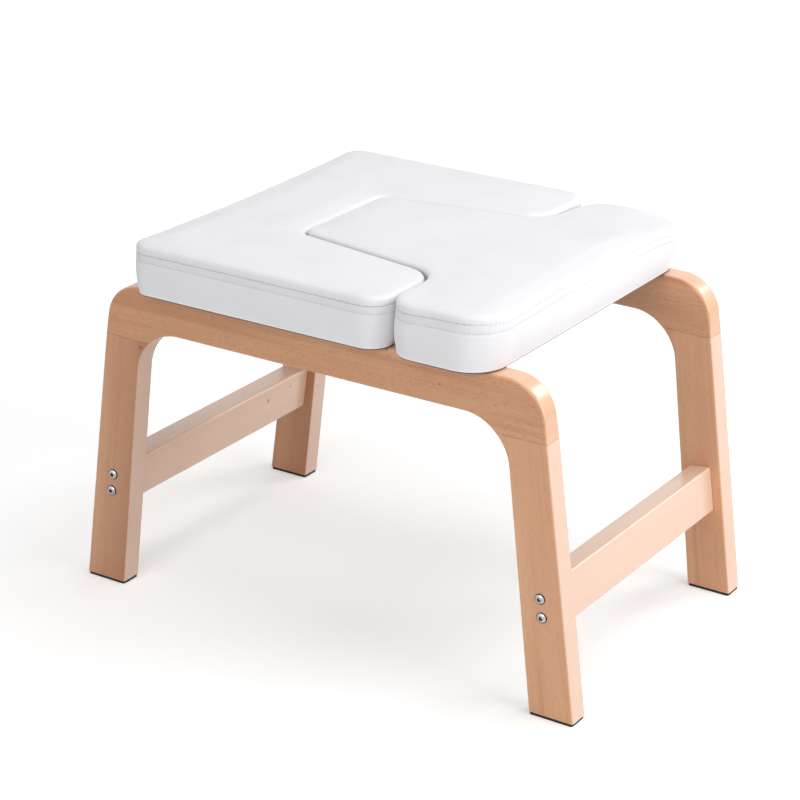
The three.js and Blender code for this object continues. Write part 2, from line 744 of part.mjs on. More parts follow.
/** The head cushion, which lifts out of the U, with the pins that locate it on the rails. */
function headCushion() {
  const group = new THREE.Group();
  const corners = headCorners();
  const seats = sides.flatMap((side) => ends.map((end) => ({
    name: `${side.name}_${end.name}`,
    x: end.pinX,
    y: side.sign * sideY,
  })));
  const pinHole = pinDiameter / 2 + fitGap;
  const pinTop = boardBottom + pinBoardDepth;

  const board = plate(boardOutline(corners), boardBottom, boardTop);
  const boardCutters = seats.map(({ x, y }) => (
    uprightBar(x, y, pinHole, boardBottom - cutOverrun, pinTop + fitGap)
  ));
  addPiece(group, 'head_board', cut(board, boardCutters), finishes.plywood);
  const crownRise = headHeight - seamRise;
  addPiece(group, 'head_foam', foamGeometry(corners, crownRise), finishes.foam);
  addPiece(group, 'head_cover', coverGeometry(corners, crownRise), finishes.leather);

  const cloth = plate(cushionOutline(corners, clothInset), clothBottom, clothBottom + clothThickness);
  const clothCutters = seats.map(({ x, y }) => uprightBar(x, y, pinHole, railTopHeight, boardTop));
  addPiece(group, 'head_dust_cloth', cut(cloth, clothCutters), finishes.cloth);

  const radius = pinDiameter / 2;
  const tip = railTopHeight - pinReach;
  const profile = [
    new THREE.Vector2(0, tip),
    new THREE.Vector2(radius - pinTipChamfer, tip),
    new THREE.Vector2(radius, tip + pinTipChamfer),
    new THREE.Vector2(radius, pinTop),
    new THREE.Vector2(0, pinTop),
  ];
  for (const { name, x, y } of seats) {
    const pin = addPiece(
      group,
      `${name}_locating_pin`,
      new THREE.LatheGeometry(profile, roundSteps).rotateX(Math.PI / 2),
      finishes.beechPlain,
    );
    pin.position.set(x, y, 0);
  }
  return group;
}

const stool = new THREE.Group();
stool.add(sideFrames(), stretchers(), shoulderCushion(), headCushion());

export default stool;
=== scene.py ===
"""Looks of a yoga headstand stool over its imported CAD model.

Metres, +Z up. +X is the head end, where the shoulder cushion opens, and +Y is the left side.
"""

import logging
import math
from collections.abc import Callable, Iterable, Mapping, Sequence
from dataclasses import dataclass, field
from enum import Enum
from itertools import accumulate, pairwise

import bmesh
import bpy
from bmesh.types import BMesh
from bpy.types import Material, Mesh, Node, NodeSocket, NodeTree, Object
from mathutils import Matrix, Vector, kdtree, noise
from mathutils.geometry import delaunay_2d_cdt


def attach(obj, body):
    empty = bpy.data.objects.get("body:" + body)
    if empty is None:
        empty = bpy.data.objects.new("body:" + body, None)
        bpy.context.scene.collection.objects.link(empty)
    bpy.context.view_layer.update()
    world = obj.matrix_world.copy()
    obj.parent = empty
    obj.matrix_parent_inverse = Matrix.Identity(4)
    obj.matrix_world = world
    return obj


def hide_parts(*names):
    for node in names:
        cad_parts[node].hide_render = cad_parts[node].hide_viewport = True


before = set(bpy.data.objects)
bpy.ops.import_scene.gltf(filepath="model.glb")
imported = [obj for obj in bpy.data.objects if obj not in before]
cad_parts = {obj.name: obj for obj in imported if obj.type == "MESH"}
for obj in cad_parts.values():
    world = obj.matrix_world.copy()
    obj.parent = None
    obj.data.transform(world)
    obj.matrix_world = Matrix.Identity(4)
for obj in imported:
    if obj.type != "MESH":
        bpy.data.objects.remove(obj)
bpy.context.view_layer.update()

log = logging.getLogger("headstand_stool")

Pair = tuple[float, float]
Triple = tuple[float, float, float]
Colour = tuple[float, float, float, float]
Scale = float | Triple
Settings = Mapping[str, object]
Sockets = Mapping[str | int, object]

UP = Vector((0.0, 0.0, 1.0))


class Body(Enum):
    """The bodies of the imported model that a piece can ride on."""

    FRAME = "frame"
    HEAD_PAD = "head_pad"


class Named(Enum):
    """A choice with a word for node names."""

    @property
    def label(self) -> str:
        """The choice's word in a node name."""
        return self.name.lower()


class Side(Named):
    """The two sides of the stool, by the sign of Y."""

    RIGHT = -1
    LEFT = 1

    @property
    def outward(self) -> Matrix:
        """The turn that lays Z along this side's outward direction."""
        return Matrix.Rotation(-self.value * math.pi / 2, 4, "X")


class End(Named):
    """The two ends of the stool, by the sign of X."""

    REAR = -1
    FRONT = 1


def clamped(value: float) -> float:
    """Hold a value between 0 and 1."""
    return max(0.0, min(1.0, value))


def srgb(red: int, green: int, blue: int) -> Colour:
    """Turn a screen colour, its parts from 0 to 255, into the linear colour of a shader socket."""
    shares = (value / 255 for value in (red, green, blue))
    return (*(s / 12.92 if s <= 0.04045 else ((s + 0.055) / 1.055) ** 2.4 for s in shares), 1.0)


# Node graphs


class Socket:
    """An output of a node, with arithmetic that adds Math nodes to its graph."""

    def __init__(self, graph: "Graph", link: NodeSocket) -> None:
        """Keep the output and the graph that it belongs to."""
        self.graph = graph
        self.link = link

    def math(self, operation: str, *operands: "Socket | float") -> "Socket":
        """Add a Math node whose operands are this output and then the others."""
        sockets = dict(enumerate((self, *operands)))
        return self.graph.value("ShaderNodeMath", {"operation": operation}, sockets)

    def __add__(self, other: "Socket | float") -> "Socket":
        """Add a value or an output."""
        return self.math("ADD", other)

    __radd__ = __add__

    def __sub__(self, other: "Socket | float") -> "Socket":
        """Subtract a value or an output."""
        return self.math("SUBTRACT", other)

    def __rsub__(self, other: float) -> "Socket":
        """Subtract this output from a value."""
        return self.graph.value("ShaderNodeMath", {"operation": "SUBTRACT"}, {0: other, 1: self})

    def __mul__(self, other: "Socket | float") -> "Socket":
        """Multiply by a value or an output."""
        return self.math("MULTIPLY", other)

    __rmul__ = __mul__

    def __truediv__(self, other: "Socket | float") -> "Socket":
        """Divide by a value or an output."""
        return self.math("DIVIDE", other)

    def __rtruediv__(self, other: float) -> "Socket":
        """Divide a value by this output."""
        return self.graph.value("ShaderNodeMath", {"operation": "DIVIDE"}, {0: other, 1: self})

    def ramp(self, low: float, high: float, start: float = 0.0, end: float = 1.0) -> "Socket":
        """Map a range of this output smoothly to another, which holds beyond the range's ends."""
        sockets = {"Value": self, "From Min": low, "From Max": high, "To Min": start, "To Max": end}
        return self.graph.value("ShaderNodeMapRange", {"interpolation_type": "SMOOTHSTEP"}, sockets)

    def bell(self, centre: float, width: float) -> "Socket":
        """A bell curve of this output: one at the centre, about a third at the width from it."""
        away = (self - centre) / width
        return (away * away * -1.0).math("EXPONENT")


class Graph:
    """A node tree and the one method that adds nodes to it."""

    def __init__(self, tree: NodeTree) -> None:
        """Keep the tree and empty it."""
        self.tree = tree
        self.tree.nodes.clear()

    def node(self, kind: str, settings: Settings | None = None, sockets: Sockets | None = None) -> Node:
        """Add a node.

        Args:
            kind: The node's type.
            settings: Properties of the node, set before its inputs.
            sockets: Values or links of the node's inputs, by name or place.

        Returns:
            The new node.
        """
        node = self.tree.nodes.new(kind)
        for name, value in (settings or {}).items():
            setattr(node, name, value)
        for key, value in (sockets or {}).items():
            if isinstance(value, Socket):
                self.tree.links.new(value.link, node.inputs[key])
            else:
                node.inputs[key].default_value = value
        return node

    def value(
        self,
        kind: str,
        settings: Settings | None = None,
        sockets: Sockets | None = None,
        output: str | int = 0,
    ) -> Socket:
        """Add a node as the node method does, and wrap one of its outputs."""
        return Socket(self, self.node(kind, settings, sockets).outputs[output])


class Shader(Graph):
    """The node tree of one material."""

    def __init__(self, name: str) -> None:
        """Make an empty material.

        Args:
            name: The material's name.
        """
        self.material = bpy.data.materials.new(name)
        self.material.use_nodes = True
        super().__init__(self.material.node_tree)

    def place(self) -> Socket:
        """The Object coordinates of the surface."""
        return self.value("ShaderNodeTexCoord", output="Object")

    def attribute(self, name: str, output: str = "Vector") -> Socket:
        """An attribute of the piece."""
        return self.value("ShaderNodeAttribute", {"attribute_name": name}, output=output)

    def stretched(self, vector: Socket, scale: Scale, turn: float = 0.0) -> Socket:
        """Scale coordinates to so many features to the metre, and turn them about Z."""
        sizes = {"Scale": scale if isinstance(scale, tuple) else (scale,) * 3, "Rotation": (0.0, 0.0, turn)}
        return self.value("ShaderNodeMapping", sockets={"Vector": vector} | sizes)

    def noise(
        self,
        vector: Socket,
        scale: Scale,
        detail: float = 2.0,
        roughness: float = 0.5,
        turn: float = 0.0,
    ) -> Socket:
        """Give a cloudy pattern.

        Args:
            vector: The coordinates.
            scale: How many features it has to the metre, in all or along each axis.
            detail: How many finer layers it has.
            roughness: How strong the finer layers are.
            turn: Its turn about Z in radians.

        Returns:
            The pattern, about 0.25 to 0.75.
        """
        placed = self.stretched(vector, scale, turn)
        sockets = {"Vector": placed, "Scale": 1.0, "Detail": detail, "Roughness": roughness}
        return self.value("ShaderNodeTexNoise", sockets=sockets)

    def cells(self, vector: Socket, feature: str = "F1", randomness: float = 1.0) -> Socket:
        """The distance to the nearest of points that are scattered about a unit apart."""
        sockets = {"Vector": vector, "Scale": 1.0, "Randomness": randomness}
        return self.value("ShaderNodeTexVoronoi", {"feature": feature}, sockets, "Distance")

    def part(self, vector: Socket, axis: str) -> Socket:
        """Take one axis of a vector."""
        return self.value("ShaderNodeSeparateXYZ", sockets={0: vector}, output=axis)

    def facing(self, axis: str) -> Socket:
        """How far the surface's normal points along an axis, from -1 to 1."""
        return self.part(self.value("ShaderNodeNewGeometry", output="Normal"), axis)

    def mix(self, factor: Socket | float, first: Socket | Colour, second: Socket | Colour) -> Socket:
        """Mix two colours by the share of the second one."""
        return self.value("ShaderNodeMix", {"data_type": "RGBA"}, {0: factor, 6: first, 7: second}, 2)

    def distance(self, vector: Socket, point: Sequence[float]) -> Socket:
        """The distance of the coordinates to a point."""
        sockets = {0: vector, 1: tuple(point)}
        return self.value("ShaderNodeVectorMath", {"operation": "DISTANCE"}, sockets, "Value")

    def bump(self, height: Socket, depth: float, below: Socket | None = None) -> Socket:
        """Turn a height into a surface normal.

        Args:
            height: The height in units of the depth.
            depth: What a height of one stands for, in metres.
            below: A coarser normal that this one goes on top of.

        Returns:
            The normal.
        """
        sockets: dict[str | int, object] = {"Height": height, "Distance": depth, "Strength": 1.0}
        if below is not None:
            sockets["Normal"] = below
        return self.value("ShaderNodeBump", sockets=sockets)

    def finish(self, sockets: Sockets) -> Material:
        """Close the tree with a Principled shader.

        Args:
            sockets: Values or links of the shader's inputs.

        Returns:
            The material.
        """
        surface = self.value("ShaderNodeBsdfPrincipled", sockets=sockets)
        self.node("ShaderNodeOutputMaterial", sockets={"Surface": surface})
        return self.material


class Recipe(Graph):
    """A Geometry Nodes tree with named inputs, run once on a guide mesh."""

    def __init__(self, name: str, sizes: Mapping[str, float]) -> None:
        """Make a tree with a geometry input and one input for each named size.

        Args:
            name: The tree's name.
            sizes: The value of each named input.
        """
        tree = bpy.data.node_groups.new(name, "GeometryNodeTree")
        super().__init__(tree)
        for direction in ("INPUT", "OUTPUT"):
            tree.interface.new_socket("Geometry", in_out=direction, socket_type="NodeSocketGeometry")
        self.sizes = dict(sizes)
        self.identifiers = {}
        for label in sizes:
            item = tree.interface.new_socket(label, in_out="INPUT", socket_type="NodeSocketFloat")
            self.identifiers[label] = item.identifier
        self.source = self.node("NodeGroupInput")

    def size(self, label: str) -> Socket:
        """A named size as an output."""
        return Socket(self, self.source.outputs[label])

    @property
    def guide(self) -> Socket:
        """The guide mesh that the modifier sits on."""
        return Socket(self, self.source.outputs["Geometry"])

    def vector(self, **parts: Socket | float) -> Socket:
        """A vector from its parts along X, Y and Z."""
        return self.value("ShaderNodeCombineXYZ", sockets=parts)

    def on_points(self, shape: Socket) -> Socket:
        """Stand a shape on each point of the guide, its Z along the point's facing.

        Args:
            shape: The geometry to stand there.

        Returns:
            The instances.
        """
        name, kind = {"Name": "facing"}, {"data_type": "FLOAT_VECTOR"}
        facing = self.value("GeometryNodeInputNamedAttribute", kind, name, "Attribute")
        turn = self.value("FunctionNodeAlignRotationToVector", {"axis": "Z"}, {"Vector": facing})
        sockets = {"Points": self.guide, "Instance": shape, "Rotation": turn}
        return self.value("GeometryNodeInstanceOnPoints", sockets=sockets)

    def along_path(self, shape: Socket, scale: Socket | Triple) -> Socket:
        """Set a shape at even steps along the guide's path, its X along the path.

        Args:
            shape: The geometry to set. The input named Pitch is the step.
            scale: Its scale along its own axes.

        Returns:
            The instances.
        """
        curve = self.value("GeometryNodeMeshToCurve", sockets={"Mesh": self.guide})
        step = {"Curve": curve, "Length": self.size("Pitch")}
        even = self.value("GeometryNodeResampleCurve", {"mode": "LENGTH"}, step)
        tangent = self.value("GeometryNodeInputTangent")
        turn = self.value("FunctionNodeAlignRotationToVector", {"axis": "X"}, {"Vector": tangent})
        sockets = {"Points": even, "Instance": shape, "Rotation": turn, "Scale": scale}
        return self.value("GeometryNodeInstanceOnPoints", sockets=sockets)

    def close(self, geometry: Socket, material: Material) -> None:
        """End the tree with Realize Instances and Set Material.

        Args:
            geometry: What the tree has made.
            material: The finish that it gets.
        """
        real = self.value("GeometryNodeRealizeInstances", sockets={"Geometry": geometry})
        dressed = self.value("GeometryNodeSetMaterial", sockets={"Geometry": real, "Material": material})
        self.node("NodeGroupOutput", sockets={"Geometry": dressed})

    def run(self, name: str, guide: Mesh) -> Object:
        """Run the tree on a guide mesh and keep the result as a plain mesh.

        Args:
            name: The new piece's name.
            guide: The mesh of points or edges that the tree starts from.

        Returns:
            The new piece.
        """
        piece = linked(name, guide)
        modifier = piece.modifiers.new(self.tree.name, "NODES")
        modifier.node_group = self.tree
        for label, value in self.sizes.items():
            modifier[self.identifiers[label]] = value
        bake_modifiers(piece)
        return piece


# Mesh helpers


def linked(name: str, mesh: Mesh) -> Object:
    """Put a mesh into the scene.

    Args:
        name: The object's name.
        mesh: The object's mesh.

    Returns:
        The object, at the origin.
    """
    piece = bpy.data.objects.new(name, mesh)
    bpy.context.scene.collection.objects.link(piece)
    return piece


def from_bmesh(name: str, shape: BMesh) -> Object:
    """Turn a bmesh into a piece in the scene.

    Args:
        name: The object's name.
        shape: The bmesh, which is freed.

    Returns:
        The object.
    """
    mesh = bpy.data.meshes.new(name)
    shape.to_mesh(mesh)
    shape.free()
    return linked(name, mesh)


def bake_modifiers(piece: Object) -> None:
    """Replace a piece's mesh by its evaluated mesh and drop its modifiers.

    Args:
        piece: The piece.
    """
    graph = bpy.context.evaluated_depsgraph_get()
    mesh = bpy.data.meshes.new_from_object(piece.evaluated_get(graph), depsgraph=graph)
    piece.modifiers.clear()
    piece.data = mesh


def smoothed(piece: Object, angle: float = 35.0) -> None:
    """Shade a piece smooth but for its sharp edges, with flat faces kept flat.

    Args:
        piece: The piece.
        angle: The least angle of a sharp edge in degrees.
    """
    piece.data.shade_smooth()
    piece.data.set_sharp_from_angle(angle=math.radians(angle))
    modifier = piece.modifiers.new("flat faces", "WEIGHTED_NORMAL")
    modifier.keep_sharp = True
    bake_modifiers(piece)


def stacked(rings: Sequence[Sequence[Vector]]) -> BMesh:
    """Close a body through rings of equal point count, counter-clockwise and from the top down.

    Args:
        rings: The rings.

    Returns:
        The body.
    """
    shape = bmesh.new()
    levels = [[shape.verts.new(point) for point in ring] for ring in rings]
    count = len(levels[0])
    for upper, lower in pairwise(levels):
        for i in range(count):
            after = (i + 1) % count
            shape.faces.new((upper[i], lower[i], lower[after], upper[after]))
    shape.faces.new(levels[0])
    shape.faces.new(list(reversed(levels[-1])))
    bmesh.ops.recalc_face_normals(shape, faces=shape.faces)
    return shape


def turned(profile: Sequence[Pair], sides: int = 32, place: Matrix | None = None) -> BMesh:
    """Turn a profile about Z into a closed body.

    Args:
        profile: Radius and height of each step, its ends closed by flat faces.
        sides: The number of sides.
        place: Where the body goes.

    Returns:
        The body.
    """
    rings = []
    for radius, height in profile:
        angles = [math.tau * i / sides for i in range(sides)]
        rings.append([Vector((radius * math.cos(a), radius * math.sin(a), height)) for a in angles])
    shape = stacked(rings)
    if place is not None:
        shape.transform(place)
        bmesh.ops.recalc_face_normals(shape, faces=shape.faces)
    return shape


def stepped_hole(radii: Pair, heights: Triple, place: Matrix) -> BMesh:
    """Make the body of a hole with one step, by two radii and three heights from the top down."""
    (upper, lower), (top, step, bottom) = radii, heights
    return turned(((upper, top), (upper, step), (lower, step), (lower, bottom)), place=place)


def cut_by(piece: Object, cutters: Iterable[BMesh]) -> None:
    """Cut closed bodies out of a piece.

    Args:
        piece: The piece.
        cutters: The bodies, clear of each other, which are freed.
    """
    joined = bmesh.new()
    for cutter in cutters:
        mesh = bpy.data.meshes.new("cutter")
        cutter.to_mesh(mesh)
        cutter.free()
        joined.from_mesh(mesh)
        bpy.data.meshes.remove(mesh)
    tool = from_bmesh("cutting_tool", joined)
    modifier = piece.modifiers.new("holes", "BOOLEAN")
    modifier.operation = "DIFFERENCE"
    modifier.solver = "EXACT"
    modifier.object = tool
    bake_modifiers(piece)
    bpy.data.objects.remove(tool)


def shaped(name: str, shape: BMesh, cutters: Sequence[BMesh] = (), angle: float = 35.0) -> Object:
    """Turn a bmesh into a piece with holes and smooth shading.

    Args:
        name: The piece's name.
        shape: The bmesh, which is freed.
        cutters: The bodies to cut out of it.
        angle: The least angle of a sharp edge in degrees.

    Returns:
        The piece.
    """
    piece = from_bmesh(name, shape)
    if cutters:
        cut_by(piece, cutters)
    smoothed(piece, angle)
    return piece


def points_mesh(name: str, points: Sequence[Vector], loop: bool = False) -> Mesh:
    """Make a guide mesh for Geometry Nodes.

    Args:
        name: The mesh's name.
        points: The points.
        loop: Whether edges join them in a closed loop.

    Returns:
        The guide mesh.
    """
    count = len(points)
    edges = [(i, (i + 1) % count) for i in range(count)] if loop else []
    mesh = bpy.data.meshes.new(name)
    mesh.from_pydata(points, edges, [])
    return mesh


def lay_grain(
    piece: Object,
    along: Vector,
    across: Vector,
    shift: float,
    tones_and_shade: Pair = (0.0, 0.0),
) -> None:
    """Give a board the attributes that its grain and its tone and painted shade follow.

    Args:
        piece: The board.
        along: The direction of the grain.
        across: The direction across it in the board's face.
        shift: A place in the pattern, so that no two boards match.
        tones_and_shade: How much darker the board is at its low and high edge, from 0 to 1: its own tone,
            and painted shade where it stands in shade.
    """
    through = along.cross(across)
    layer = piece.data.attributes.new("grain", "FLOAT_VECTOR", "POINT")
    for item, vertex in zip(layer.data, piece.data.vertices):
        place = vertex.co
        item.vector = (place.dot(along) + shift, place.dot(across) + shift / 3, place.dot(through))
    heights = [vertex.co.dot(across) for vertex in piece.data.vertices]
    low, high = min(heights), max(heights)
    layer = piece.data.attributes.new("tone_and_shade", "FLOAT", "POINT")
    for item, height in zip(layer.data, heights):
        item.value = tones_and_shade[0] + (tones_and_shade[1] - tones_and_shade[0]) * (height - low) / (high - low)


def dress(piece: Object, material: Material, body: Body, nodes: Sequence[str] = ()) -> None:
    """Give a new piece its finish, its body and the nodes that it stands for.

    Args:
        piece: The piece.
        material: Its finish.
        body: The body that it rides on.
        nodes: The CAD nodes that it replaces.
    """
    piece.data.materials.clear()
    piece.data.materials.append(material)
    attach(piece, body.value)
    if nodes:
        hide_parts(*nodes)
    log.info("%s: %d faces, for %s", piece.name, len(piece.data.polygons), ", ".join(nodes) or "itself")


def dress_node(name: str, material: Material) -> None:
    """Give the CAD node of this name a better material."""
    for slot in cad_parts[name].material_slots:
        slot.material = material


# Outlines in plan


@dataclass(frozen=True)
class Corner:
    """One corner of an outline. Edges between two free corners are drawn in."""

    x: float
    y: float
    radius: float = 0.0
    free: bool = False

    @property
    def at(self) -> Vector:
        """The corner's tip."""
        return Vector((self.x, self.y))

    def mirrored(self) -> "Corner":
        """The same corner on the other side of the X axis."""
        return Corner(self.x, -self.y, self.radius, self.free)


@dataclass
class Plan:
    """A counter-clockwise outline with rounded corners, inset to rings of equal point count."""

    corners: Sequence[Corner]
    steps: int = 12
    spacing: float = 0.0045
    least_radius: float = 0.0025
    side_draw: float = 0.3
    divisions: list[int] = field(default_factory=list)

    def __post_init__(self) -> None:
        """Settle how many points each edge has."""
        arcs = self.arcs(0.0)
        for arc, after in pairwise([*arcs, arcs[0]]):
            self.divisions.append(max(1, round((after[0] - arc[-1]).length / self.spacing)))

    def arcs(self, inset: float) -> list[list[Vector]]:
        """Give each corner as an arc.

        Args:
            inset: How far the outline moves into the material.

        Returns:
            The points of each corner.
        """
        count = len(self.corners)
        heads = [self.corners[(i + 1) % count].at - c.at for i, c in enumerate(self.corners)]
        heads = [head.normalized() for head in heads]
        arcs = []
        for i, corner in enumerate(self.corners):
            before, after = heads[i - 1], heads[i]
            in_before, in_after = Vector((-before.y, before.x)), Vector((-after.y, after.x))
            inward = (in_before + in_after) / (1 + in_before.dot(in_after))
            tip = corner.at + inward * inset
            if corner.radius == 0:
                arcs.append([tip])
                continue
            turn = math.atan2(before.x * after.y - before.y * after.x, before.dot(after))
            side = math.copysign(1.0, turn)
            radius = max(corner.radius - inset, self.least_radius) if side > 0 else corner.radius + inset
            centre = tip + inward * side * radius
            spoke = in_before * -side * radius
            turns = [turn * step / self.steps for step in range(self.steps + 1)]
            arcs.append([centre + Matrix.Rotation(angle, 2) @ spoke for angle in turns])
        return arcs

    def points(self, inset: float = 0.0, draw: float = 0.0) -> list[Vector]:
        """Give the outline's points.

        Args:
            inset: How far the outline moves into the material.
            draw: How far a free end is drawn in midway, as a share of its length. Sides are less so.

        Returns:
            The points, equally many at any inset.
        """
        arcs = self.arcs(inset)
        count = len(arcs)
        points = []
        for i, arc in enumerate(arcs):
            after = (i + 1) % count
            edge = arcs[after][0] - arc[-1]
            free = self.corners[i].free and self.corners[after].free
            slack = (abs(edge.y) + self.side_draw * abs(edge.x)) / edge.length
            inward = Vector((-edge.y, edge.x)) * (draw * slack if free else 0.0)
            points.extend(arc)
            for step in range(1, self.divisions[i]):
                share = step / self.divisions[i]
                points.append(arc[-1] + edge * share + inward * 4 * share * (1 - share))
        return points

    def mating(self) -> list[float]:
        """Tell how far each point lies on an edge that meets another cushion.

        Returns:
            A share for each point, from 0 to 1.
        """
        count = len(self.corners)
        pairs = [(corner, self.corners[(i + 1) % count]) for i, corner in enumerate(self.corners)]
        edges = [float(not (corner.free and after.free)) for corner, after in pairs]
        shares = []
        for i in range(count):
            turn = self.steps if self.corners[i].radius else 0
            shares += [edges[i - 1] + (edges[i] - edges[i - 1]) * k / max(turn, 1) for k in range(turn + 1)]
            shares += [edges[i]] * (self.divisions[i] - 1)
        return shares

    def runs(self) -> list[float]:
        """Distance along the outline at each point, and its whole length last."""
        points = self.points()
        return list(accumulate(((b - a).length for a, b in pairwise(points + points[:1])), initial=0.0))


def rounded_box(half_x: float, half_y: float, radius: float, steps: int = 6) -> list[Vector]:
    """Give the outline of a rectangle round the origin with rounded corners.

    Args:
        half_x: Half its width.
        half_y: Half its depth.
        radius: Its corner radius.
        steps: The steps of each corner.

    Returns:
        The points, counter-clockwise.
    """
    signs = ((-1, -1), (1, -1), (1, 1), (-1, 1))
    corners = [Corner(x * half_x, y * half_y, radius) for x, y in signs]
    return [point for arc in Plan(corners, steps=steps).arcs(0.0) for point in arc]


def eased_plate(middle: Vector, half: Pair, radius: float, heights: Pair, ease: float) -> BMesh:
    """Make a flat plate with round corners and its long edges rounded over.

    Args:
        middle: The middle of the plate in plan.
        half: Half its size along X and Y.
        radius: The radius of its corners in plan.
        heights: The heights of its underside and its top.
        ease: The radius of its long edges.

    Returns:
        The plate.
    """
    steps = 4
    angles = [math.pi / 2 * step / steps for step in range(steps + 1)]
    rounding = [(ease * (1 - math.cos(angle)), ease * (1 - math.sin(angle))) for angle in angles]
    levels = [(inset, heights[1] - drop) for inset, drop in reversed(rounding)]
    levels += [(inset, heights[0] + drop) for inset, drop in rounding]
    rings = []
    for inset, height in levels:
        outline = rounded_box(half[0] - inset, half[1] - inset, radius - inset)
        rings.append([(middle + point).to_3d() + UP * height for point in outline])
    return stacked(rings)


# Finishes


@dataclass(frozen=True)
class Knot:
    """A small pin knot in a board, by its place on the stool."""

    place: Triple
    radius: float


@dataclass(frozen=True)
class BeechFinish:
    """Steamed beech, its grain along the first axis of a board's grain attribute. Faces that don't face
    along Y are paler, partly edge grain and partly a painted wash of light.
    """

    name: str
    face: Colour
    streak: Colour
    pale: Colour
    fleck: Colour = srgb(158, 104, 66)
    # Paler colour of faces that don't face along Y: partly edge grain, partly a painted wash of light on
    # faces towards the lamps.
    edge: Colour = srgb(237, 206, 186)
    dark: Colour = srgb(176, 112, 66)
    # The colour that the tone attribute darkens towards: the board's own tone, and painted shade on the
    # rear legs.
    heart: Colour = srgb(96, 62, 40)
    edge_and_wash_share: float = 0.75
    flecks: float = 0.3
    roughness: float = 0.42
    coat: float = 1.0
    coat_roughness: float = 0.2
    haze: float = 0.3
    knots: tuple[Knot, ...] = ()

    def build(self) -> Material:
        """Make the material.

        Returns:
            The material.
        """
        shader = Shader(self.name)
        grain = shader.attribute("grain")
        drift = shader.noise(grain, (4, 26, 26))
        bands = shader.noise(grain, (2.2, 70, 40), 3.0, 0.6)
        lines = shader.noise(grain, (5, 520, 260), 3.0, 0.65)
        dashes = shader.noise(grain, (190, 1500, 1500), 1.0)
        pores = shader.noise(grain, (420, 5200, 5200), 1.0)
        colour = shader.mix(drift.ramp(0.38, 0.66), self.face, self.pale)
        colour = shader.mix(bands.ramp(0.46, 0.74) * 0.75, colour, self.streak)
        colour = shader.mix(lines.ramp(0.5, 0.74) * 0.45, colour, self.streak)
        colour = shader.mix(dashes.ramp(0.6, 0.7) * self.flecks, colour, self.fleck)
        colour = shader.mix(pores.ramp(0.62, 0.72) * 0.35, colour, self.fleck)
        # Darken by the tone attribute: the board's own tone, and painted shade on the rear legs under the
        # seat.
        colour = shader.mix(shader.attribute("tone_and_shade", "Fac"), colour, self.dark)
        # Faces that don't face along Y turn paler: partly edge grain, partly a painted wash of light.
        edge_and_wash = shader.facing("Y").math("ABSOLUTE").ramp(0.3, 0.9, self.edge_and_wash_share, 0.0)
        colour = shader.mix(edge_and_wash, colour, self.edge)
        place = shader.place()
        for knot in self.knots:
            spot = shader.distance(place, knot.place)
            halo = spot.ramp(knot.radius, knot.radius * 2.6, 0.45, 0.0)
            core = spot.ramp(knot.radius * 0.5, knot.radius, 0.8, 0.0)
            colour = shader.mix(core, shader.mix(halo, colour, self.fleck), self.heart)
        relief = lines.ramp(0.4, 0.8) * 0.5 + pores.ramp(0.6, 0.75)
        return shader.finish({
            "Base Color": colour,
            "Roughness": bands.ramp(0.3, 0.7, self.roughness - 0.04, self.roughness + 0.06),
            "Normal": shader.bump(relief * -1.0, 0.00002),
            "Coat Weight": self.coat,
            "Coat Roughness": self.coat_roughness,
            "Specular IOR Level": 0.7,
            "Sheen Weight": self.haze,
            "Sheen Roughness": 0.4,
            "Sheen Tint": srgb(255, 232, 214),
        })


@dataclass(frozen=True)
class PlywoodFinish:
    """Birch plywood, its layers stacked along Z."""

    name: str = "plywood"
    veneer: Colour = srgb(214, 184, 142)
    core: Colour = srgb(176, 138, 96)
    figure: Colour = srgb(196, 160, 116)
    layer: float = 0.0012

    def build(self) -> Material:
        """Make the material.

        Returns:
            The material.
        """
        shader = Shader(self.name)
        place = shader.place()
        edge = shader.facing("Z").math("ABSOLUTE").ramp(0.5, 0.8, 1.0, 0.0)
        layers = (shader.part(place, "Z") / self.layer).math("PINGPONG", 1.0).ramp(0.35, 0.65)
        grain = shader.noise(place, (8, 260, 260), 3.0, 0.6)
        fibre = shader.noise(place, (900, 900, 200), 1.0)
        face = shader.mix(grain.ramp(0.4, 0.7), self.veneer, self.figure)
        side = shader.mix(layers * 0.8, face, self.core)
        colour = shader.mix(edge, face, side)
        colour = shader.mix(fibre.ramp(0.55, 0.75) * 0.3, colour, self.core)
        return shader.finish({
            "Base Color": colour,
            "Roughness": grain.ramp(0.3, 0.7, 0.6, 0.75),
            "Normal": shader.bump(grain + fibre, 0.00004),
        })


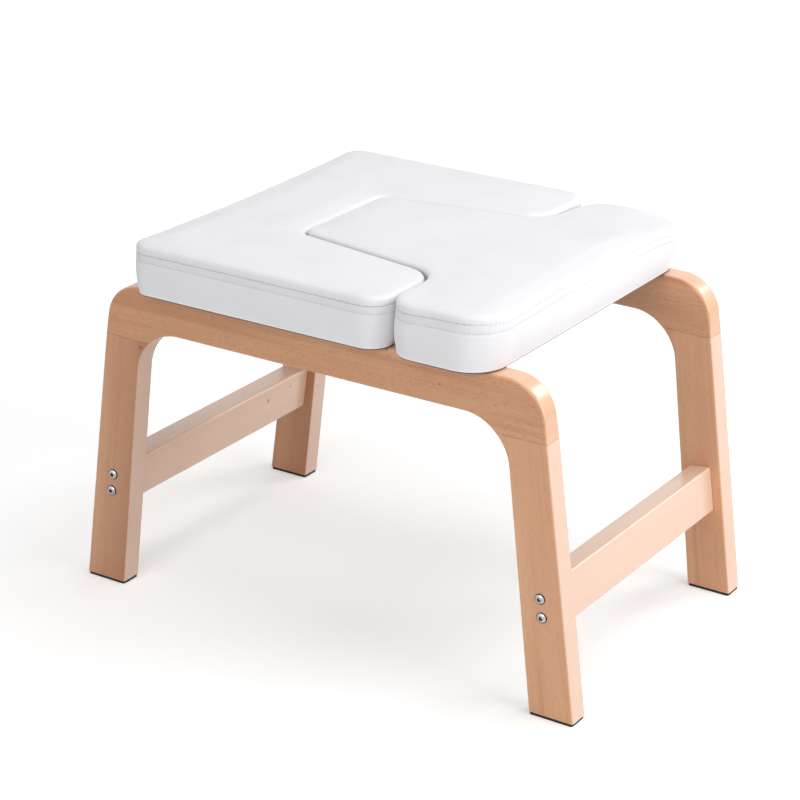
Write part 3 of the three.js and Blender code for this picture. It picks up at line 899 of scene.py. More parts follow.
@dataclass(frozen=True)
class LeatherFinish:
    """White coated fabric with a fine pebble grain, puckered along its seams, with painted shade in its
    seams, a painted highlight low on its wall and a painted contact shadow along its bottom edge.
    """

    name: str = "white_leather"
    face: Colour = srgb(240, 239, 243)
    shade: Colour = srgb(231, 230, 233)
    # Painted shade in the seam's groove, along the stitch row and on the band between them.
    seam_shade: Colour = srgb(168, 168, 173)
    # Painted highlight low on the wall, just above the hem's bottom edge.
    hem: Colour = srgb(250, 250, 252)
    # Painted contact shadow: a thin dark line along the cover's bottom edge, where it sits on the rail.
    edge: Colour = srgb(74, 66, 62)
    pitch: float = 0.0048
    seam_at: float = 0.0
    row_at: float = 0.008
    hem_at: float = 0.0452
    pebble: float = 0.0009

    def build(self) -> Material:
        """Make the material.

        Returns:
            The material.
        """
        shader = Shader(self.name)
        place = shader.place()
        skin = shader.value("ShaderNodeUVMap", {"uv_map": "skin"})
        run, drop = shader.part(skin, "X"), shader.part(skin, "Y")
        cloud = shader.noise(place, 14, 3.0)
        waver = shader.noise(skin, (1.0 / self.pitch, 0, 0), 3.0, 0.7)
        gather = shader.noise(skin, (2.6 / self.pitch, 0, 0))
        pebbles = shader.cells(shader.stretched(place, 1 / self.pebble), "DISTANCE_TO_EDGE")
        fine = shader.noise(place, 2600)
        creases = shader.noise(place, 150, 4.0, 0.6)
        beat = (run * (math.tau / self.pitch)).math("COSINE")
        seam = drop.bell(self.seam_at, 0.0022)
        row = drop.bell(self.row_at, 0.0016)
        # Masks of the painted seam shade: the band, the seam's line and the stitch row's line.
        band = drop.ramp(0.0006, 0.0022) * drop.ramp(0.0066, 0.0082, 1.0, 0.0)
        line = (drop + (waver - 0.5) * 0.003).bell(self.seam_at, 0.0007)
        line = line * gather.ramp(0.4, 0.62, 0.15, 0.75)
        row_line = drop.bell(self.row_at, 0.0007) * gather.ramp(0.35, 0.65, 0.08, 0.3)
        # Painted highlight: the lowest few millimetres of the wall turn paler.
        hem = drop.ramp(self.hem_at - 0.004, self.hem_at - 0.001)
        colour = shader.mix(cloud.ramp(0.4, 0.75) * 0.4, self.face, self.shade)
        # Painted shade along the seam, fading on faces towards +X, which the head-end lamp lights.
        painted_seam_shade = (band * 0.08 + line + row_line) * shader.facing("X").ramp(0.5, 0.9, 1.0, 0.15)
        colour = shader.mix(painted_seam_shade, colour, self.seam_shade)
        colour = shader.mix(hem * 0.6, colour, self.hem)
        # Painted contact shadow along the cover's bottom edge.
        colour = shader.mix(drop.ramp(self.hem_at, self.hem_at + 0.0004), colour, self.edge)
        pucker = beat * 0.4 + waver.ramp(0.3, 0.7, -1.2, 1.2)
        coarse = shader.bump(pucker * seam * 0.8 + pucker * row * 0.35, 0.00026)
        middle = shader.bump(creases.ramp(0.35, 0.7), 0.00006, coarse)
        relief = pebbles.ramp(0.0, 0.22) + fine * 0.35
        return shader.finish({
            "Base Color": colour,
            "Roughness": cloud.ramp(0.3, 0.7, 0.42, 0.52) + pebbles.ramp(0.0, 0.2, 0.06, 0.0),
            "Specular IOR Level": 0.25,
            "Normal": shader.bump(relief, 0.00003, middle),
        })


@dataclass(frozen=True)
class EvenFinish:
    """Steel, rubber or thread: one colour with clouds of a second one, and painted shade on what doesn't
    look along an axis if it has one.
    """

    name: str
    colour: Colour
    cloud: Colour
    roughness: Pair
    depth: float = 0.000008
    cloud_scale: float = 420
    grain_scale: Scale = (5200, 700, 5200)
    detail: float = 3.0
    grain_detail: float = 2.0
    spread: Triple = (0.4, 0.7, 1.0)
    metallic: float = 1.0
    axis: str = ""
    # Painted shade on what doesn't look along the axis: dark rims and socket walls on the bolt heads.
    shade: Colour = srgb(58, 52, 50)

    def build(self) -> Material:
        """Make the material, with painted shade on what doesn't look along the axis if it has one.

        Returns:
            The material.
        """
        shader = Shader(self.name)
        place = shader.place()
        cloud = shader.noise(place, self.cloud_scale, self.detail)
        grain = shader.noise(place, self.grain_scale, self.grain_detail)
        low, high, share = self.spread
        colour = shader.mix(cloud.ramp(low, high) * share, self.colour, self.cloud)
        # Painted shade where the surface doesn't face along the axis.
        if self.axis:
            facing = shader.facing(self.axis).math("ABSOLUTE")
            colour = shader.mix(facing.ramp(0.4, 0.8), self.shade, colour)
        return shader.finish({
            "Base Color": colour,
            "Metallic": self.metallic,
            "Roughness": cloud.ramp(0.3, 0.7, *self.roughness),
            "Normal": shader.bump(grain, self.depth),
        })


@dataclass(frozen=True)
class ClothFinish:
    """Black spun-bonded dust cloth, point-bonded in a fine grid."""

    name: str = "black_cloth"
    colour: Colour = srgb(30, 30, 32)
    fibre: Colour = srgb(62, 62, 65)
    bond: float = 0.0013

    def build(self) -> Material:
        """Make the material.

        Returns:
            The material.
        """
        shader = Shader(self.name)
        place = shader.place()
        bonds = shader.cells(shader.stretched(place, 1 / self.bond, math.pi / 4), "F1", 0.0)
        fibres = shader.noise(place, (700, 4200, 700), 3.0, 0.7, 0.5)
        cross = shader.noise(place, (3900, 650, 700), 3.0, 0.7, 0.2)
        web = fibres.ramp(0.42, 0.68) + cross.ramp(0.42, 0.68)
        return shader.finish({
            "Base Color": shader.mix(web * 0.5, self.colour, self.fibre),
            "Roughness": web.ramp(0.0, 2.0, 0.92, 0.74),
            "Normal": shader.bump(web * 0.4 + bonds.ramp(0.15, 0.45), 0.00012),
        })


class Finishes:
    """Every finish of the stool, made once."""

    def __init__(self) -> None:
        """Make all the materials."""
        self.rail = BeechFinish(
            "beech_rail",
            face=srgb(212, 149, 99),
            streak=srgb(195, 128, 80),
            pale=srgb(219, 159, 112),
            # Paler faces away from Y: partly edge grain, partly a painted wash of light.
            edge=srgb(232, 186, 148),
            flecks=0.6,
            knots=(Knot((0.145, -0.1815, 0.323), 0.0009),),
        ).build()
        self.leg = BeechFinish(
            "beech_leg",
            face=srgb(228, 168, 121),
            streak=srgb(208, 146, 99),
            pale=srgb(235, 180, 135),
            knots=(
                Knot((0.2545, -0.1485, 0.262), 0.0011),
                Knot((-0.2456, 0.088, 0.15), 0.001),
                Knot((-0.2484, 0.123, 0.129), 0.0009),
                Knot((-0.2489, 0.081, 0.125), 0.0014),
                Knot((-0.218, -0.1815, 0.281), 0.0022),
            ),
        ).build()
        self.plain = BeechFinish(
            "beech_plain",
            face=srgb(222, 176, 134),
            streak=srgb(203, 152, 108),
            pale=srgb(230, 188, 150),
            edge_and_wash_share=0.0,
            roughness=0.6,
            coat=0.0,
            haze=0.0,
        ).build()
        self.plywood = PlywoodFinish().build()
        self.leather = LeatherFinish().build()
        self.thread = EvenFinish(
            "sewing_thread",
            colour=srgb(226, 225, 229),
            cloud=srgb(188, 187, 192),
            roughness=(0.5, 0.7),
            depth=0.00005,
            cloud_scale=3000,
            grain_scale=3000,
            detail=1.0,
            grain_detail=1.0,
            spread=(0.45, 0.7, 0.5),
            metallic=0.0,
        ).build()
        # The stretcher bolts get painted shade on their rims and socket walls, which don't face along Y.
        self.steel = EvenFinish(
            "bolt_steel",
            colour=srgb(214, 214, 216),
            cloud=srgb(176, 176, 180),
            roughness=(0.11, 0.24),
            axis="Y",
        ).build()
        self.zinc = EvenFinish(
            "zinc_steel",
            colour=srgb(188, 190, 192),
            cloud=srgb(160, 163, 160),
            roughness=(0.29, 0.42),
        ).build()
        self.rubber = EvenFinish(
            "foot_rubber",
            colour=srgb(24, 24, 25),
            cloud=srgb(40, 39, 38),
            roughness=(0.62, 0.8),
            depth=0.00006,
            cloud_scale=260,
            grain_scale=2400,
            metallic=0.0,
        ).build()
        self.cloth = ClothFinish().build()


# Side frames and stretchers


@dataclass(frozen=True)
class FrameSizes:
    """Sizes that the frame's pieces share, as in the part's source."""

    length: float = 0.604
    width: float = 0.363
    rail_top: float = 0.346
    rail_height: float = 0.045
    stock: float = 0.025
    leg_top_width: float = 0.044
    leg_foot_width: float = 0.0495
    splay: float = 0.0465
    joint_drop: float = 0.0135
    foot_height: float = 0.003
    fit: float = 0.0003
    stretcher_centre: float = 0.118
    bolt_spacing: float = 0.0195
    counterbore_depth: float = 0.0012
    recess_depth: float = 0.020
    pad_bolts_x: Pair = (-0.165, 0.040)
    pins_x: Pair = (0.126, 0.172)

    @property
    def side_y(self) -> float:
        """Middle plane of a side frame."""
        return (self.width - self.stock) / 2

    @property
    def rail_bottom(self) -> float:
        """Height of the rail's underside."""
        return self.rail_top - self.rail_height

    @property
    def joint(self) -> float:
        """Height of the glue line between leg and rail."""
        return self.rail_bottom - self.joint_drop

    @property
    def lean(self) -> float:
        """Lean of the legs in radians."""
        return math.atan(self.splay / self.rail_top)

    @property
    def bolt_rises(self) -> Pair:
        """Where the lower and the upper stretcher bolt sit along a leg, from the stretcher's middle."""
        return (-self.bolt_spacing / 2, self.bolt_spacing / 2)

    def outer_x(self, height: float) -> float:
        """X of a leg's outer edge at a height."""
        return self.length / 2 - self.splay / self.rail_top * height

    def leg_width(self, height: float) -> float:
        """Width of a leg along X at a height."""
        taper = (self.leg_foot_width - self.leg_top_width) * height / self.rail_bottom
        return self.leg_foot_width - taper

    def centre_x(self, height: float) -> float:
        """X of a leg's centre line at a height."""
        return self.outer_x(height) - self.leg_width(height) / 2

    def leg_axis(self, end: End) -> Vector:
        """Direction up along a leg."""
        return Vector((-end.value * math.sin(self.lean), 0.0, math.cos(self.lean)))

    def bolt_place(self, end: End, rise: float) -> Pair:
        """Where a stretcher bolt crosses a side frame, as X and Z."""
        x = end.value * self.centre_x(self.stretcher_centre) + rise * self.leg_axis(end).x
        return (x, self.stretcher_centre + rise * self.leg_axis(end).z)


@dataclass
class SideFrames:
    """The two arched side frames: a rail with both corners, four legs and their feet."""

    finishes: Finishes
    sizes: FrameSizes = FrameSizes()
    outer_radius: float = 0.042
    inner_radius: float = 0.052
    rail_edge: float = 0.0035
    leg_edge: float = 0.002
    corner_steps: int = 28
    corner_spacing: float = 0.02
    edge_steps: int = 5
    bolt_hole: float = 0.0033
    counterbore_radius: float = 0.006
    recess_radius: float = 0.0065
    pin_hole: float = 0.0044
    pin_hole_depth: float = 0.017
    tenon: Triple = (0.026, 0.008, 0.040)
    foot_inset: float = 0.0006
    foot_radius: float = 0.002
    foot_ease: float = 0.0005
    past: float = 0.008

    def arch_corners(self) -> list[Corner]:
        """Give the corners of the whole arch in its own plane, X and Z.

        Returns:
            The corners, counter-clockwise, the legs' ends a little below the floor.
        """
        sizes = self.sizes
        low, bend, top = -self.past, sizes.rail_bottom, sizes.rail_top
        front = [
            Corner(sizes.outer_x(bend) - sizes.leg_width(bend), bend, self.inner_radius),
            Corner(sizes.outer_x(low) - sizes.leg_width(low), low),
            Corner(sizes.outer_x(low), low),
            Corner(sizes.outer_x(top), top, self.outer_radius),
        ]
        return front + [Corner(-c.x, c.y, c.radius) for c in reversed(front)]

    def arch(self, side: Side) -> BMesh:
        """Make one whole arch, its long edges rounded over, more so on the rail than on the legs.

        Args:
            side: Its side of the stool.

        Returns:
            The arch, reaching a little below the floor.
        """
        plan = Plan(self.arch_corners(), steps=self.corner_steps, spacing=self.corner_spacing)
        half, middle = self.sizes.stock / 2, side.value * self.sizes.side_y
        low, high = self.sizes.joint, self.sizes.rail_bottom
        angles = [math.pi / 2 * step / self.edge_steps for step in range(self.edge_steps + 1)]
        rings = []
        for sign, angle in [(-1, a) for a in reversed(angles)] + [(1, a) for a in angles]:
            inset, sink = 1 - math.cos(angle), 1 - math.sin(angle)
            leg_ring, rail_ring = plan.points(self.leg_edge * inset), plan.points(self.rail_edge * inset)
            ring = []
            for sharp, rounder in zip(leg_ring, rail_ring):
                share = clamped((sharp.y - low) / (high - low))
                depth = half - (self.leg_edge + (self.rail_edge - self.leg_edge) * share) * sink
                place = sharp.lerp(rounder, share)
                ring.append(Vector((place.x, middle + sign * depth, place.y)))
            rings.append(ring)
        return stacked(rings)

    def sliced(self, shape: BMesh, place: Vector, away: Vector) -> None:
        """Saw off what lies beyond a plane and close the cut.

        Args:
            shape: The board.
            place: A point of the plane.
            away: The direction that goes.
        """
        everything = shape.verts[:] + shape.edges[:] + shape.faces[:]
        bmesh.ops.bisect_plane(shape, geom=everything, plane_co=place, plane_no=away, clear_outer=True)
        bmesh.ops.holes_fill(shape, edges=[e for e in shape.edges if e.is_boundary], sides=0)
        bmesh.ops.recalc_face_normals(shape, faces=shape.faces)

    def mortise(self, side: Side, end: End) -> BMesh:
        """Make the body of the mortise in one glue joint.

        Args:
            side: Its side of the stool.
            end: Its end of the stool.

        Returns:
            The body to cut away.
        """
        sizes = self.sizes
        size = [value + 2 * sizes.fit for value in self.tenon]
        centre = (end.value * sizes.centre_x(sizes.joint), side.value * sizes.side_y, sizes.joint)
        place = Matrix.Translation(centre) @ Matrix.Diagonal((*size, 1.0))
        shape = bmesh.new()
        bmesh.ops.create_cube(shape, size=1.0, matrix=place)
        return shape

    def rail(self, side: Side) -> None:
        """Make and dress one top rail with both its corners.

        Args:
            side: Its side of the stool.
        """
        sizes = self.sizes
        shape = self.arch(side)
        self.sliced(shape, UP * (sizes.joint + sizes.fit / 2), -UP)
        cutters = [self.mortise(side, end) for end in End]
        top, bottom = sizes.rail_top, sizes.rail_bottom
        for x in (*sizes.pad_bolts_x, *sizes.pins_x):
            place = Matrix.Translation((x, side.value * sizes.side_y, 0))
            if x in sizes.pad_bolts_x:
                heights = (top + self.past, bottom + sizes.recess_depth, bottom - self.past)
                cutters.append(stepped_hole((self.bolt_hole, self.recess_radius), heights, place))
            else:
                profile = ((self.pin_hole, top + self.past), (self.pin_hole, top - self.pin_hole_depth))
                cutters.append(turned(profile, place=place))
        piece = shaped(f"{side.label}_rail_board", shape, cutters)
        lay_grain(piece, Vector((1, 0, 0)), UP, 0.7 + 0.31 * side.value)
        dress(piece, self.finishes.rail, Body.FRAME, [f"{side.label}_top_rail"])

    def leg(self, side: Side, end: End) -> None:
        """Make and dress one leg.

        Args:
            side: Its side of the stool.
            end: Its end of the stool.
        """
        sizes = self.sizes
        shape = self.arch(side)
        self.sliced(shape, UP * (sizes.joint - sizes.fit / 2), UP)
        self.sliced(shape, Vector(), Vector((-end.value, 0, 0)))
        self.sliced(shape, UP * (sizes.foot_height + sizes.fit), -UP)
        cutters = [self.mortise(side, end)]
        face = sizes.width / 2
        heights = (face + self.past, face - sizes.counterbore_depth, face - sizes.stock - self.past)
        for rise in sizes.bolt_rises:
            x, z = sizes.bolt_place(end, rise)
            place = Matrix.Translation((x, 0, z)) @ side.outward
            cutters.append(stepped_hole((self.counterbore_radius, self.bolt_hole), heights, place))
        name = f"{side.label}_{end.label}_leg"
        piece = shaped(f"{name}_board", shape, cutters)
        axis = sizes.leg_axis(end)
        shift = 1.7 + 0.43 * side.value + 0.19 * end.value
        # Rear legs are darker, strongly so towards their inner edge under the seat: painted shade. Front
        # legs darken a little, a little more at their outer edge.
        tones_and_shade = (0.3, 0.95) if end is End.REAR else (0.1, 0.15)
        lay_grain(piece, axis, Vector((0, 1, 0)).cross(axis), shift, tones_and_shade)
        dress(piece, self.finishes.leg, Body.FRAME, [name])

    def foot(self, side: Side, end: End) -> None:
        """Make and dress one rubber foot pad.

        Args:
            side: Its side of the stool.
            end: Its end of the stool.
        """
        sizes = self.sizes
        height = sizes.foot_height + sizes.fit
        middle = Vector((end.value * sizes.centre_x(height), side.value * sizes.side_y))
        half = (sizes.leg_width(height) / 2 - self.foot_inset, sizes.stock / 2 - self.foot_inset)
        pad = eased_plate(middle, half, self.foot_radius, (0.0, sizes.foot_height), self.foot_ease)
        name = f"{side.label}_{end.label}_foot"
        piece = shaped(f"{name}_pad", pad)
        dress(piece, self.finishes.rubber, Body.FRAME, [name])

    def build(self) -> None:
        """Make every piece of both side frames."""
        for side in Side:
            self.rail(side)
            for end in End:
                self.leg(side, end)
                self.foot(side, end)
                dress_node(f"{side.label}_{end.label}_tenon", self.finishes.plain)


@dataclass
class Stretchers:
    """The two stretchers between the legs, leaning with them, and their eight bolts."""

    finishes: Finishes
    sizes: FrameSizes = FrameSizes()
    height: float = 0.0495
    edge_radius: float = 0.0025
    sleeve_hole: float = 0.0053
    sleeve_depth: float = 0.0186
    flange_hole: float = 0.00655
    flange_depth: float = 0.0017
    bolt_length: float = 0.036
    past: float = 0.004

    def stretcher(self, end: End) -> None:
        """Make and dress one stretcher.

        Args:
            end: Its end of the stool.
        """
        sizes = self.sizes
        half = sizes.width / 2 - sizes.stock - sizes.fit
        section = rounded_box(sizes.stock / 2, self.height / 2, self.edge_radius, 5)
        shape = stacked([[Vector((p.x, -y, p.y)) for p in section] for y in (half, -half)])
        middle = (end.value * sizes.centre_x(sizes.stretcher_centre), 0, sizes.stretcher_centre)
        place = Matrix.Translation(middle) @ Matrix.Rotation(-end.value * sizes.lean, 4, "Y")
        shape.transform(place)
        heights = (half + self.past, half - self.flange_depth, half - self.sleeve_depth)
        cutters = []
        for side in Side:
            for rise in sizes.bolt_rises:
                hole = place @ Matrix.Translation((0, 0, rise)) @ side.outward
                cutters.append(stepped_hole((self.flange_hole, self.sleeve_hole), heights, hole))
        name = f"{end.label}_stretcher"
        piece = shaped(f"{name}_board", shape, cutters)
        lay_grain(piece, Vector((0, 1, 0)), sizes.leg_axis(end), 3.1 + 0.6 * end.value)
        dress(piece, self.finishes.leg, Body.FRAME, [name])

    def build(self) -> None:
        """Make both stretchers and their bolts, and dress the sleeves in their ends."""
        sizes = self.sizes
        places, facings, nodes = [], [], []
        face = sizes.width / 2 - sizes.counterbore_depth + sizes.fit
        for end in End:
            self.stretcher(end)
            for side in Side:
                for level, rise in zip(("upper", "lower"), reversed(sizes.bolt_rises)):
                    x, z = sizes.bolt_place(end, rise)
                    places.append(Vector((x, side.value * face, z)))
                    facings.append(Vector((0, side.value, 0)))
                    name = f"{end.label}_{side.label}_{level}"
                    nodes.append(f"{name}_bolt")
                    dress_node(f"{name}_sleeve", self.finishes.zinc)
        bolts = ButtonHeadBolts(self.finishes.steel, self.bolt_length)
        piece = bolts.build("stretcher_bolt_set", places, facings)
        dress(piece, self.finishes.steel, Body.FRAME, nodes)


# Fasteners


@dataclass
class Fasteners:
    """Fasteners of one kind, a shank with a head, made by one Geometry Nodes recipe."""

    material: Material
    length: float
    head_diameter: float = 0.0105
    head_height: float = 0.0033
    shank_diameter: float = 0.006
    sides: int = 28

    def inputs(self) -> dict[str, float]:
        """Give the recipe's named inputs.

        Returns:
            The size behind each name.
        """
        return {
            "Head Diameter": self.head_diameter,
            "Head Height": self.head_height,
            "Shank Diameter": self.shank_diameter,
            "Shank Length": self.length,
        }

    def headed(self, recipe: Recipe, steps: Iterable[Pair]) -> Socket:
        """Make a shank about the origin and draw its head out of its top.

        Args:
            recipe: The tree.
            steps: Each step's rise, as a share of the head's height, and growth. The first also
                grows from the shank to the head.

        Returns:
            The fastener without its drive.
        """
        shaft = recipe.node("GeometryNodeMeshCylinder", {"fill_type": "NGON"}, {
            "Vertices": self.sides,
            "Radius": recipe.size("Shank Diameter") / 2.0,
            "Depth": recipe.size("Shank Length"),
        })
        body, top = (Socket(recipe, shaft.outputs[name]) for name in ("Mesh", "Top"))
        growth = recipe.size("Head Diameter") / recipe.size("Shank Diameter")
        for rise, scale in steps:
            grown = recipe.node("GeometryNodeExtrudeMesh", {"mode": "FACES"}, {
                "Mesh": body,
                "Selection": top,
                "Offset": (0.0, 0.0, 1.0),
                "Offset Scale": recipe.size("Head Height") * rise,
                "Individual": False,
            })
            body, top = (Socket(recipe, grown.outputs[name]) for name in ("Mesh", "Top"))
            sockets = {"Geometry": body, "Selection": top, "Scale": growth * scale}
            body = recipe.value("GeometryNodeScaleElements", {"domain": "FACE"}, sockets)
            growth = 1.0
        return body

    def sunk(self, recipe: Recipe, body: Socket, tool: Socket) -> Socket:
        """Sink a tool's shape into the top of the head.

        Args:
            recipe: The tree.
            body: The fastener.
            tool: The shape, about the origin.

        Returns:
            The fastener with the hollow.
        """
        lift = recipe.vector(Z=recipe.size("Shank Length") / 2.0 + recipe.size("Head Height"))
        tool = recipe.value("GeometryNodeTransform", sockets={"Geometry": tool, "Translation": lift})
        settings = {"operation": "DIFFERENCE", "solver": "EXACT"}
        return recipe.value("GeometryNodeMeshBoolean", settings, {"Mesh 1": body, "Mesh 2": tool}, "Mesh")

    def shape(self, recipe: Recipe) -> Socket:
        """Make one fastener with its shank about the origin."""
        raise NotImplementedError

    def build(self, name: str, places: Sequence[Vector], facings: Sequence[Vector]) -> Object:
        """Make the fasteners.

        Args:
            name: The piece's name.
            places: The seat of each head, where its shank starts.
            facings: The direction that each head faces.

        Returns:
            The fasteners as one piece.
        """
        recipe = Recipe(name, self.inputs())
        drop = recipe.vector(Z=recipe.size("Shank Length") / -2.0)
        sockets = {"Geometry": self.shape(recipe), "Translation": drop}
        hung = recipe.value("GeometryNodeTransform", sockets=sockets)
        recipe.close(recipe.on_points(hung), self.material)
        guide = points_mesh(name, places)
        layer = guide.attributes.new("facing", "FLOAT_VECTOR", "POINT")
        for item, direction in zip(layer.data, facings):
            item.vector = direction
        piece = recipe.run(name, guide)
        smoothed(piece, 40.0)
        return piece


@dataclass
class ButtonHeadBolts(Fasteners):
    """Button-head bolts with hexagon sockets."""

    across_flats: float = 0.004
    socket_depth: float = 0.0021
    rim_share: float = 0.3
    dome_steps: int = 6
    dome_turn: float = 0.92

    def inputs(self) -> dict[str, float]:
        """The recipe's named inputs, with those of the socket."""
        return super().inputs() | {"Across Flats": self.across_flats, "Socket Depth": self.socket_depth}

    def shape(self, recipe: Recipe) -> Socket:
        """Make one bolt, its head a rim and a dome, with its shank about the origin.

        Args:
            recipe: The tree.

        Returns:
            The bolt.
        """
        whole = math.pi / 2 * self.dome_turn
        turns = [whole * step / self.dome_steps for step in range(self.dome_steps + 1)]
        steps = [(0.0, 1.0), (self.rim_share, 1.0)]
        for before, angle in pairwise(turns):
            rise = (math.sin(angle) - math.sin(before)) / math.sin(turns[-1])
            steps.append(((1 - self.rim_share) * rise, math.cos(angle) / math.cos(before)))
        key = recipe.value("GeometryNodeMeshCylinder", {"fill_type": "NGON"}, {
            "Vertices": 6,
            "Radius": recipe.size("Across Flats") / math.sqrt(3),
            "Depth": recipe.size("Socket Depth") * 2.0,
        })
        return self.sunk(recipe, self.headed(recipe, steps), key)


@dataclass
class LedgeScrews(Fasteners):
    """Flat-head wood screws with a cross recess."""

    head_diameter: float = 0.008
    head_height: float = 0.0023
    shank_diameter: float = 0.004
    sides: int = 24
    cross: Triple = (0.0046, 0.0009, 0.0024)

    def shape(self, recipe: Recipe) -> Socket:
        """Make one screw, its head a cone, a rim and a chamfer, with its shank about the origin.

        Args:
            recipe: The tree.

        Returns:
            The screw.
        """
        screw = self.headed(recipe, ((0.45, 1.0), (0.4, 1.0), (0.15, 0.9)))
        long_way, short_way, depth = self.cross
        for size in ((long_way, short_way, depth), (short_way, long_way, depth)):
            blade = recipe.value("GeometryNodeMeshCube", sockets={"Size": size})
            screw = self.sunk(recipe, screw, blade)
        return screw


# Cushions


@dataclass(frozen=True)
class Inflation:
    """A short cloth simulation that swells a cushion's skin from inside."""

    voxel: float = 0.005
    pressure: float = 4.0
    frames: int = 20
    cap: float = 0.006
    neighbours: int = 10

    def swell(self, mesh: Mesh, held: Callable[[Vector], float]) -> Callable[[Vector], Vector]:
        """Swell a copy of a skin and give how far its surface moves.

        Args:
            mesh: The skin, closed.
            held: Says how firmly a place is held, from 0 to 1.

        Returns:
            A function from a place on the skin to its movement.
        """
        scene = bpy.context.scene
        copy = linked("swelling_copy", mesh.copy())
        remesh = copy.modifiers.new("even", "REMESH")
        remesh.mode = "VOXEL"
        remesh.voxel_size = self.voxel
        bake_modifiers(copy)
        rest = [vertex.co.copy() for vertex in copy.data.vertices]
        group = copy.vertex_groups.new(name="held")
        for index, place in enumerate(rest):
            group.add([index], held(place), "REPLACE")
        cloth = copy.modifiers.new("swell", "CLOTH")
        for name, value in {
            "quality": 6,
            "mass": 0.3,
            "tension_stiffness": 25,
            "compression_stiffness": 25,
            "shear_stiffness": 12,
            "bending_stiffness": 2,
            "use_pressure": True,
            "uniform_pressure_force": self.pressure,
            "vertex_group_mass": group.name,
        }.items():
            setattr(cloth.settings, name, value)
        cloth.settings.effector_weights.gravity = 0
        cloth.collision_settings.use_collision = False
        cloth.collision_settings.use_self_collision = False
        cloth.point_cache.frame_start = 1
        cloth.point_cache.frame_end = self.frames
        for moment in range(1, self.frames + 1):
            scene.frame_set(moment)
        bake_modifiers(copy)
        tree = kdtree.KDTree(len(rest))
        moves = []
        for index, (place, vertex) in enumerate(zip(rest, copy.data.vertices)):
            move = vertex.co - place
            if move.length > self.cap:
                move = move.normalized() * self.cap
            moves.append(move)
            tree.insert(place, index)
        tree.balance()
        scene.frame_set(1)
        bpy.data.objects.remove(copy)
        log.info("swelling: %d points, most %.4f m", len(moves), max(move.length for move in moves))

        def movement(place: Vector) -> Vector:
            """Average the movement of the nearest swollen points.

            Args:
                place: A place on the skin.

            Returns:
                How far it moves.
            """
            total, weight = Vector(), 0.0
            for _, index, away in tree.find_n(place, self.neighbours):
                share = 1.0 / (away + self.voxel * 0.5)
                total += moves[index] * share
                weight += share
            return total / weight

        return movement


@dataclass(frozen=True)
class CushionSizes:
    """Sizes that both cushions share, as in the part's source."""

    half_width: float = 0.2025
    rear_x: float = -0.2145
    front_x: float = 0.2085
    arm_end_x: float = 0.089
    gap: float = 0.0026
    slot_end_x: float = -0.092
    slot_end_half: float = 0.075
    slot_mouth_half: float = 0.106
    slot_end_radius: float = 0.013
    mouth_radius: float = 0.035
    arm_radius: float = 0.026
    rear_radius: float = 0.020
    bar_rear_radius: float = 0.030
    bar_front_radius: float = 0.041
    seat: float = 0.346
    seam_rise: float = 0.046
    board: float = 0.012
    cover: float = 0.0012
    cloth: float = 0.0008
    cloth_inset: float = 0.009
    hem_width: float = 0.019
    hem_edge: float = 0.0003
    wall_depth: float = 0.005
    flare: float = 0.0035
    belly: float = 0.002
    seam_depth: float = 0.0011
    groove: float = 0.0017
    stitch_drop: float = 0.008
    stitch_depth: float = 0.0006
    stitch_width: float = 0.0012
    fit: float = 0.0003
    crown_reach: float = 0.0342
    draw: float = 0.016
    lean: float = 0.0022
    hem_drop: float = 0.0013

    @property
    def slot_slope(self) -> float:
        """How fast the slot widens towards its mouth."""
        return (self.slot_mouth_half - self.slot_end_half) / (self.arm_end_x - self.slot_end_x)

    @property
    def cloth_bottom(self) -> float:
        """Height of the dust cloth's underside."""
        return self.seat + self.fit

    @property
    def hem_bottom(self) -> float:
        """Height of the hem's underside."""
        return self.cloth_bottom + self.cloth + self.fit

    @property
    def board_bottom(self) -> float:
        """Height of the board's underside."""
        return self.hem_bottom + self.cover + self.fit

    @property
    def board_top(self) -> float:
        """Height of the board's top."""
        return self.board_bottom + self.board

    @property
    def seam(self) -> float:
        """Height of the seam."""
        return self.seat + self.seam_rise

    @property
    def lip(self) -> float:
        """Height of the top panel's edge, above the seam's groove."""
        return self.seam + self.groove

    def shoulder_corners(self) -> list[Corner]:
        """Give the corners of the shoulder cushion, a U that opens towards +X.

        Returns:
            The corners, counter-clockwise.
        """
        outside = [
            Corner(self.arm_end_x, self.half_width, self.arm_radius, True),
            Corner(self.rear_x, self.half_width, self.rear_radius, True),
        ]
        slot = [
            Corner(self.slot_end_x, self.slot_end_half, self.slot_end_radius),
            Corner(self.arm_end_x, self.slot_mouth_half, self.mouth_radius),
        ]
        far = [c.mirrored() for c in reversed(outside)] + [c.mirrored() for c in reversed(slot)]
        return outside + far + slot

    def head_corners(self) -> list[Corner]:
        """Give the corners of the head cushion, a T whose stem fills the slot with an even gap.

        Returns:
            The corners, counter-clockwise.
        """
        across = self.gap * math.hypot(1, self.slot_slope)
        rear, tip = self.arm_end_x + self.gap, self.slot_end_x + self.gap

        def half(x: float) -> float:
            """Half width of the stem at a place along X."""
            return self.slot_end_half + self.slot_slope * (x - self.slot_end_x) - across

        left = [
            Corner(self.front_x, self.half_width, self.bar_front_radius, True),
            Corner(rear, self.half_width, self.bar_rear_radius, True),
            Corner(rear, half(rear), self.mouth_radius + self.gap),
            Corner(tip, half(tip), self.slot_end_radius - self.gap),
        ]
        return left + [c.mirrored() for c in reversed(left)]


@dataclass(frozen=True)
class Crease:
    """A soft wrinkle in a top panel, from one place to another."""

    start: Pair
    end: Pair
    width: float
    depth: float

    def sink(self, place: Vector) -> float:
        """Tell how far the wrinkle sinks a place.

        Args:
            place: The place in plan.

        Returns:
            The depth there.
        """
        start, end = Vector(self.start), Vector(self.end)
        run = end - start
        share = clamped((place.xy - start).dot(run) / run.length_squared)
        away = (place.xy - start - run * share).length / self.width
        return self.depth * math.exp(-away * away) * math.sin(math.pi * (0.1 + 0.8 * share))


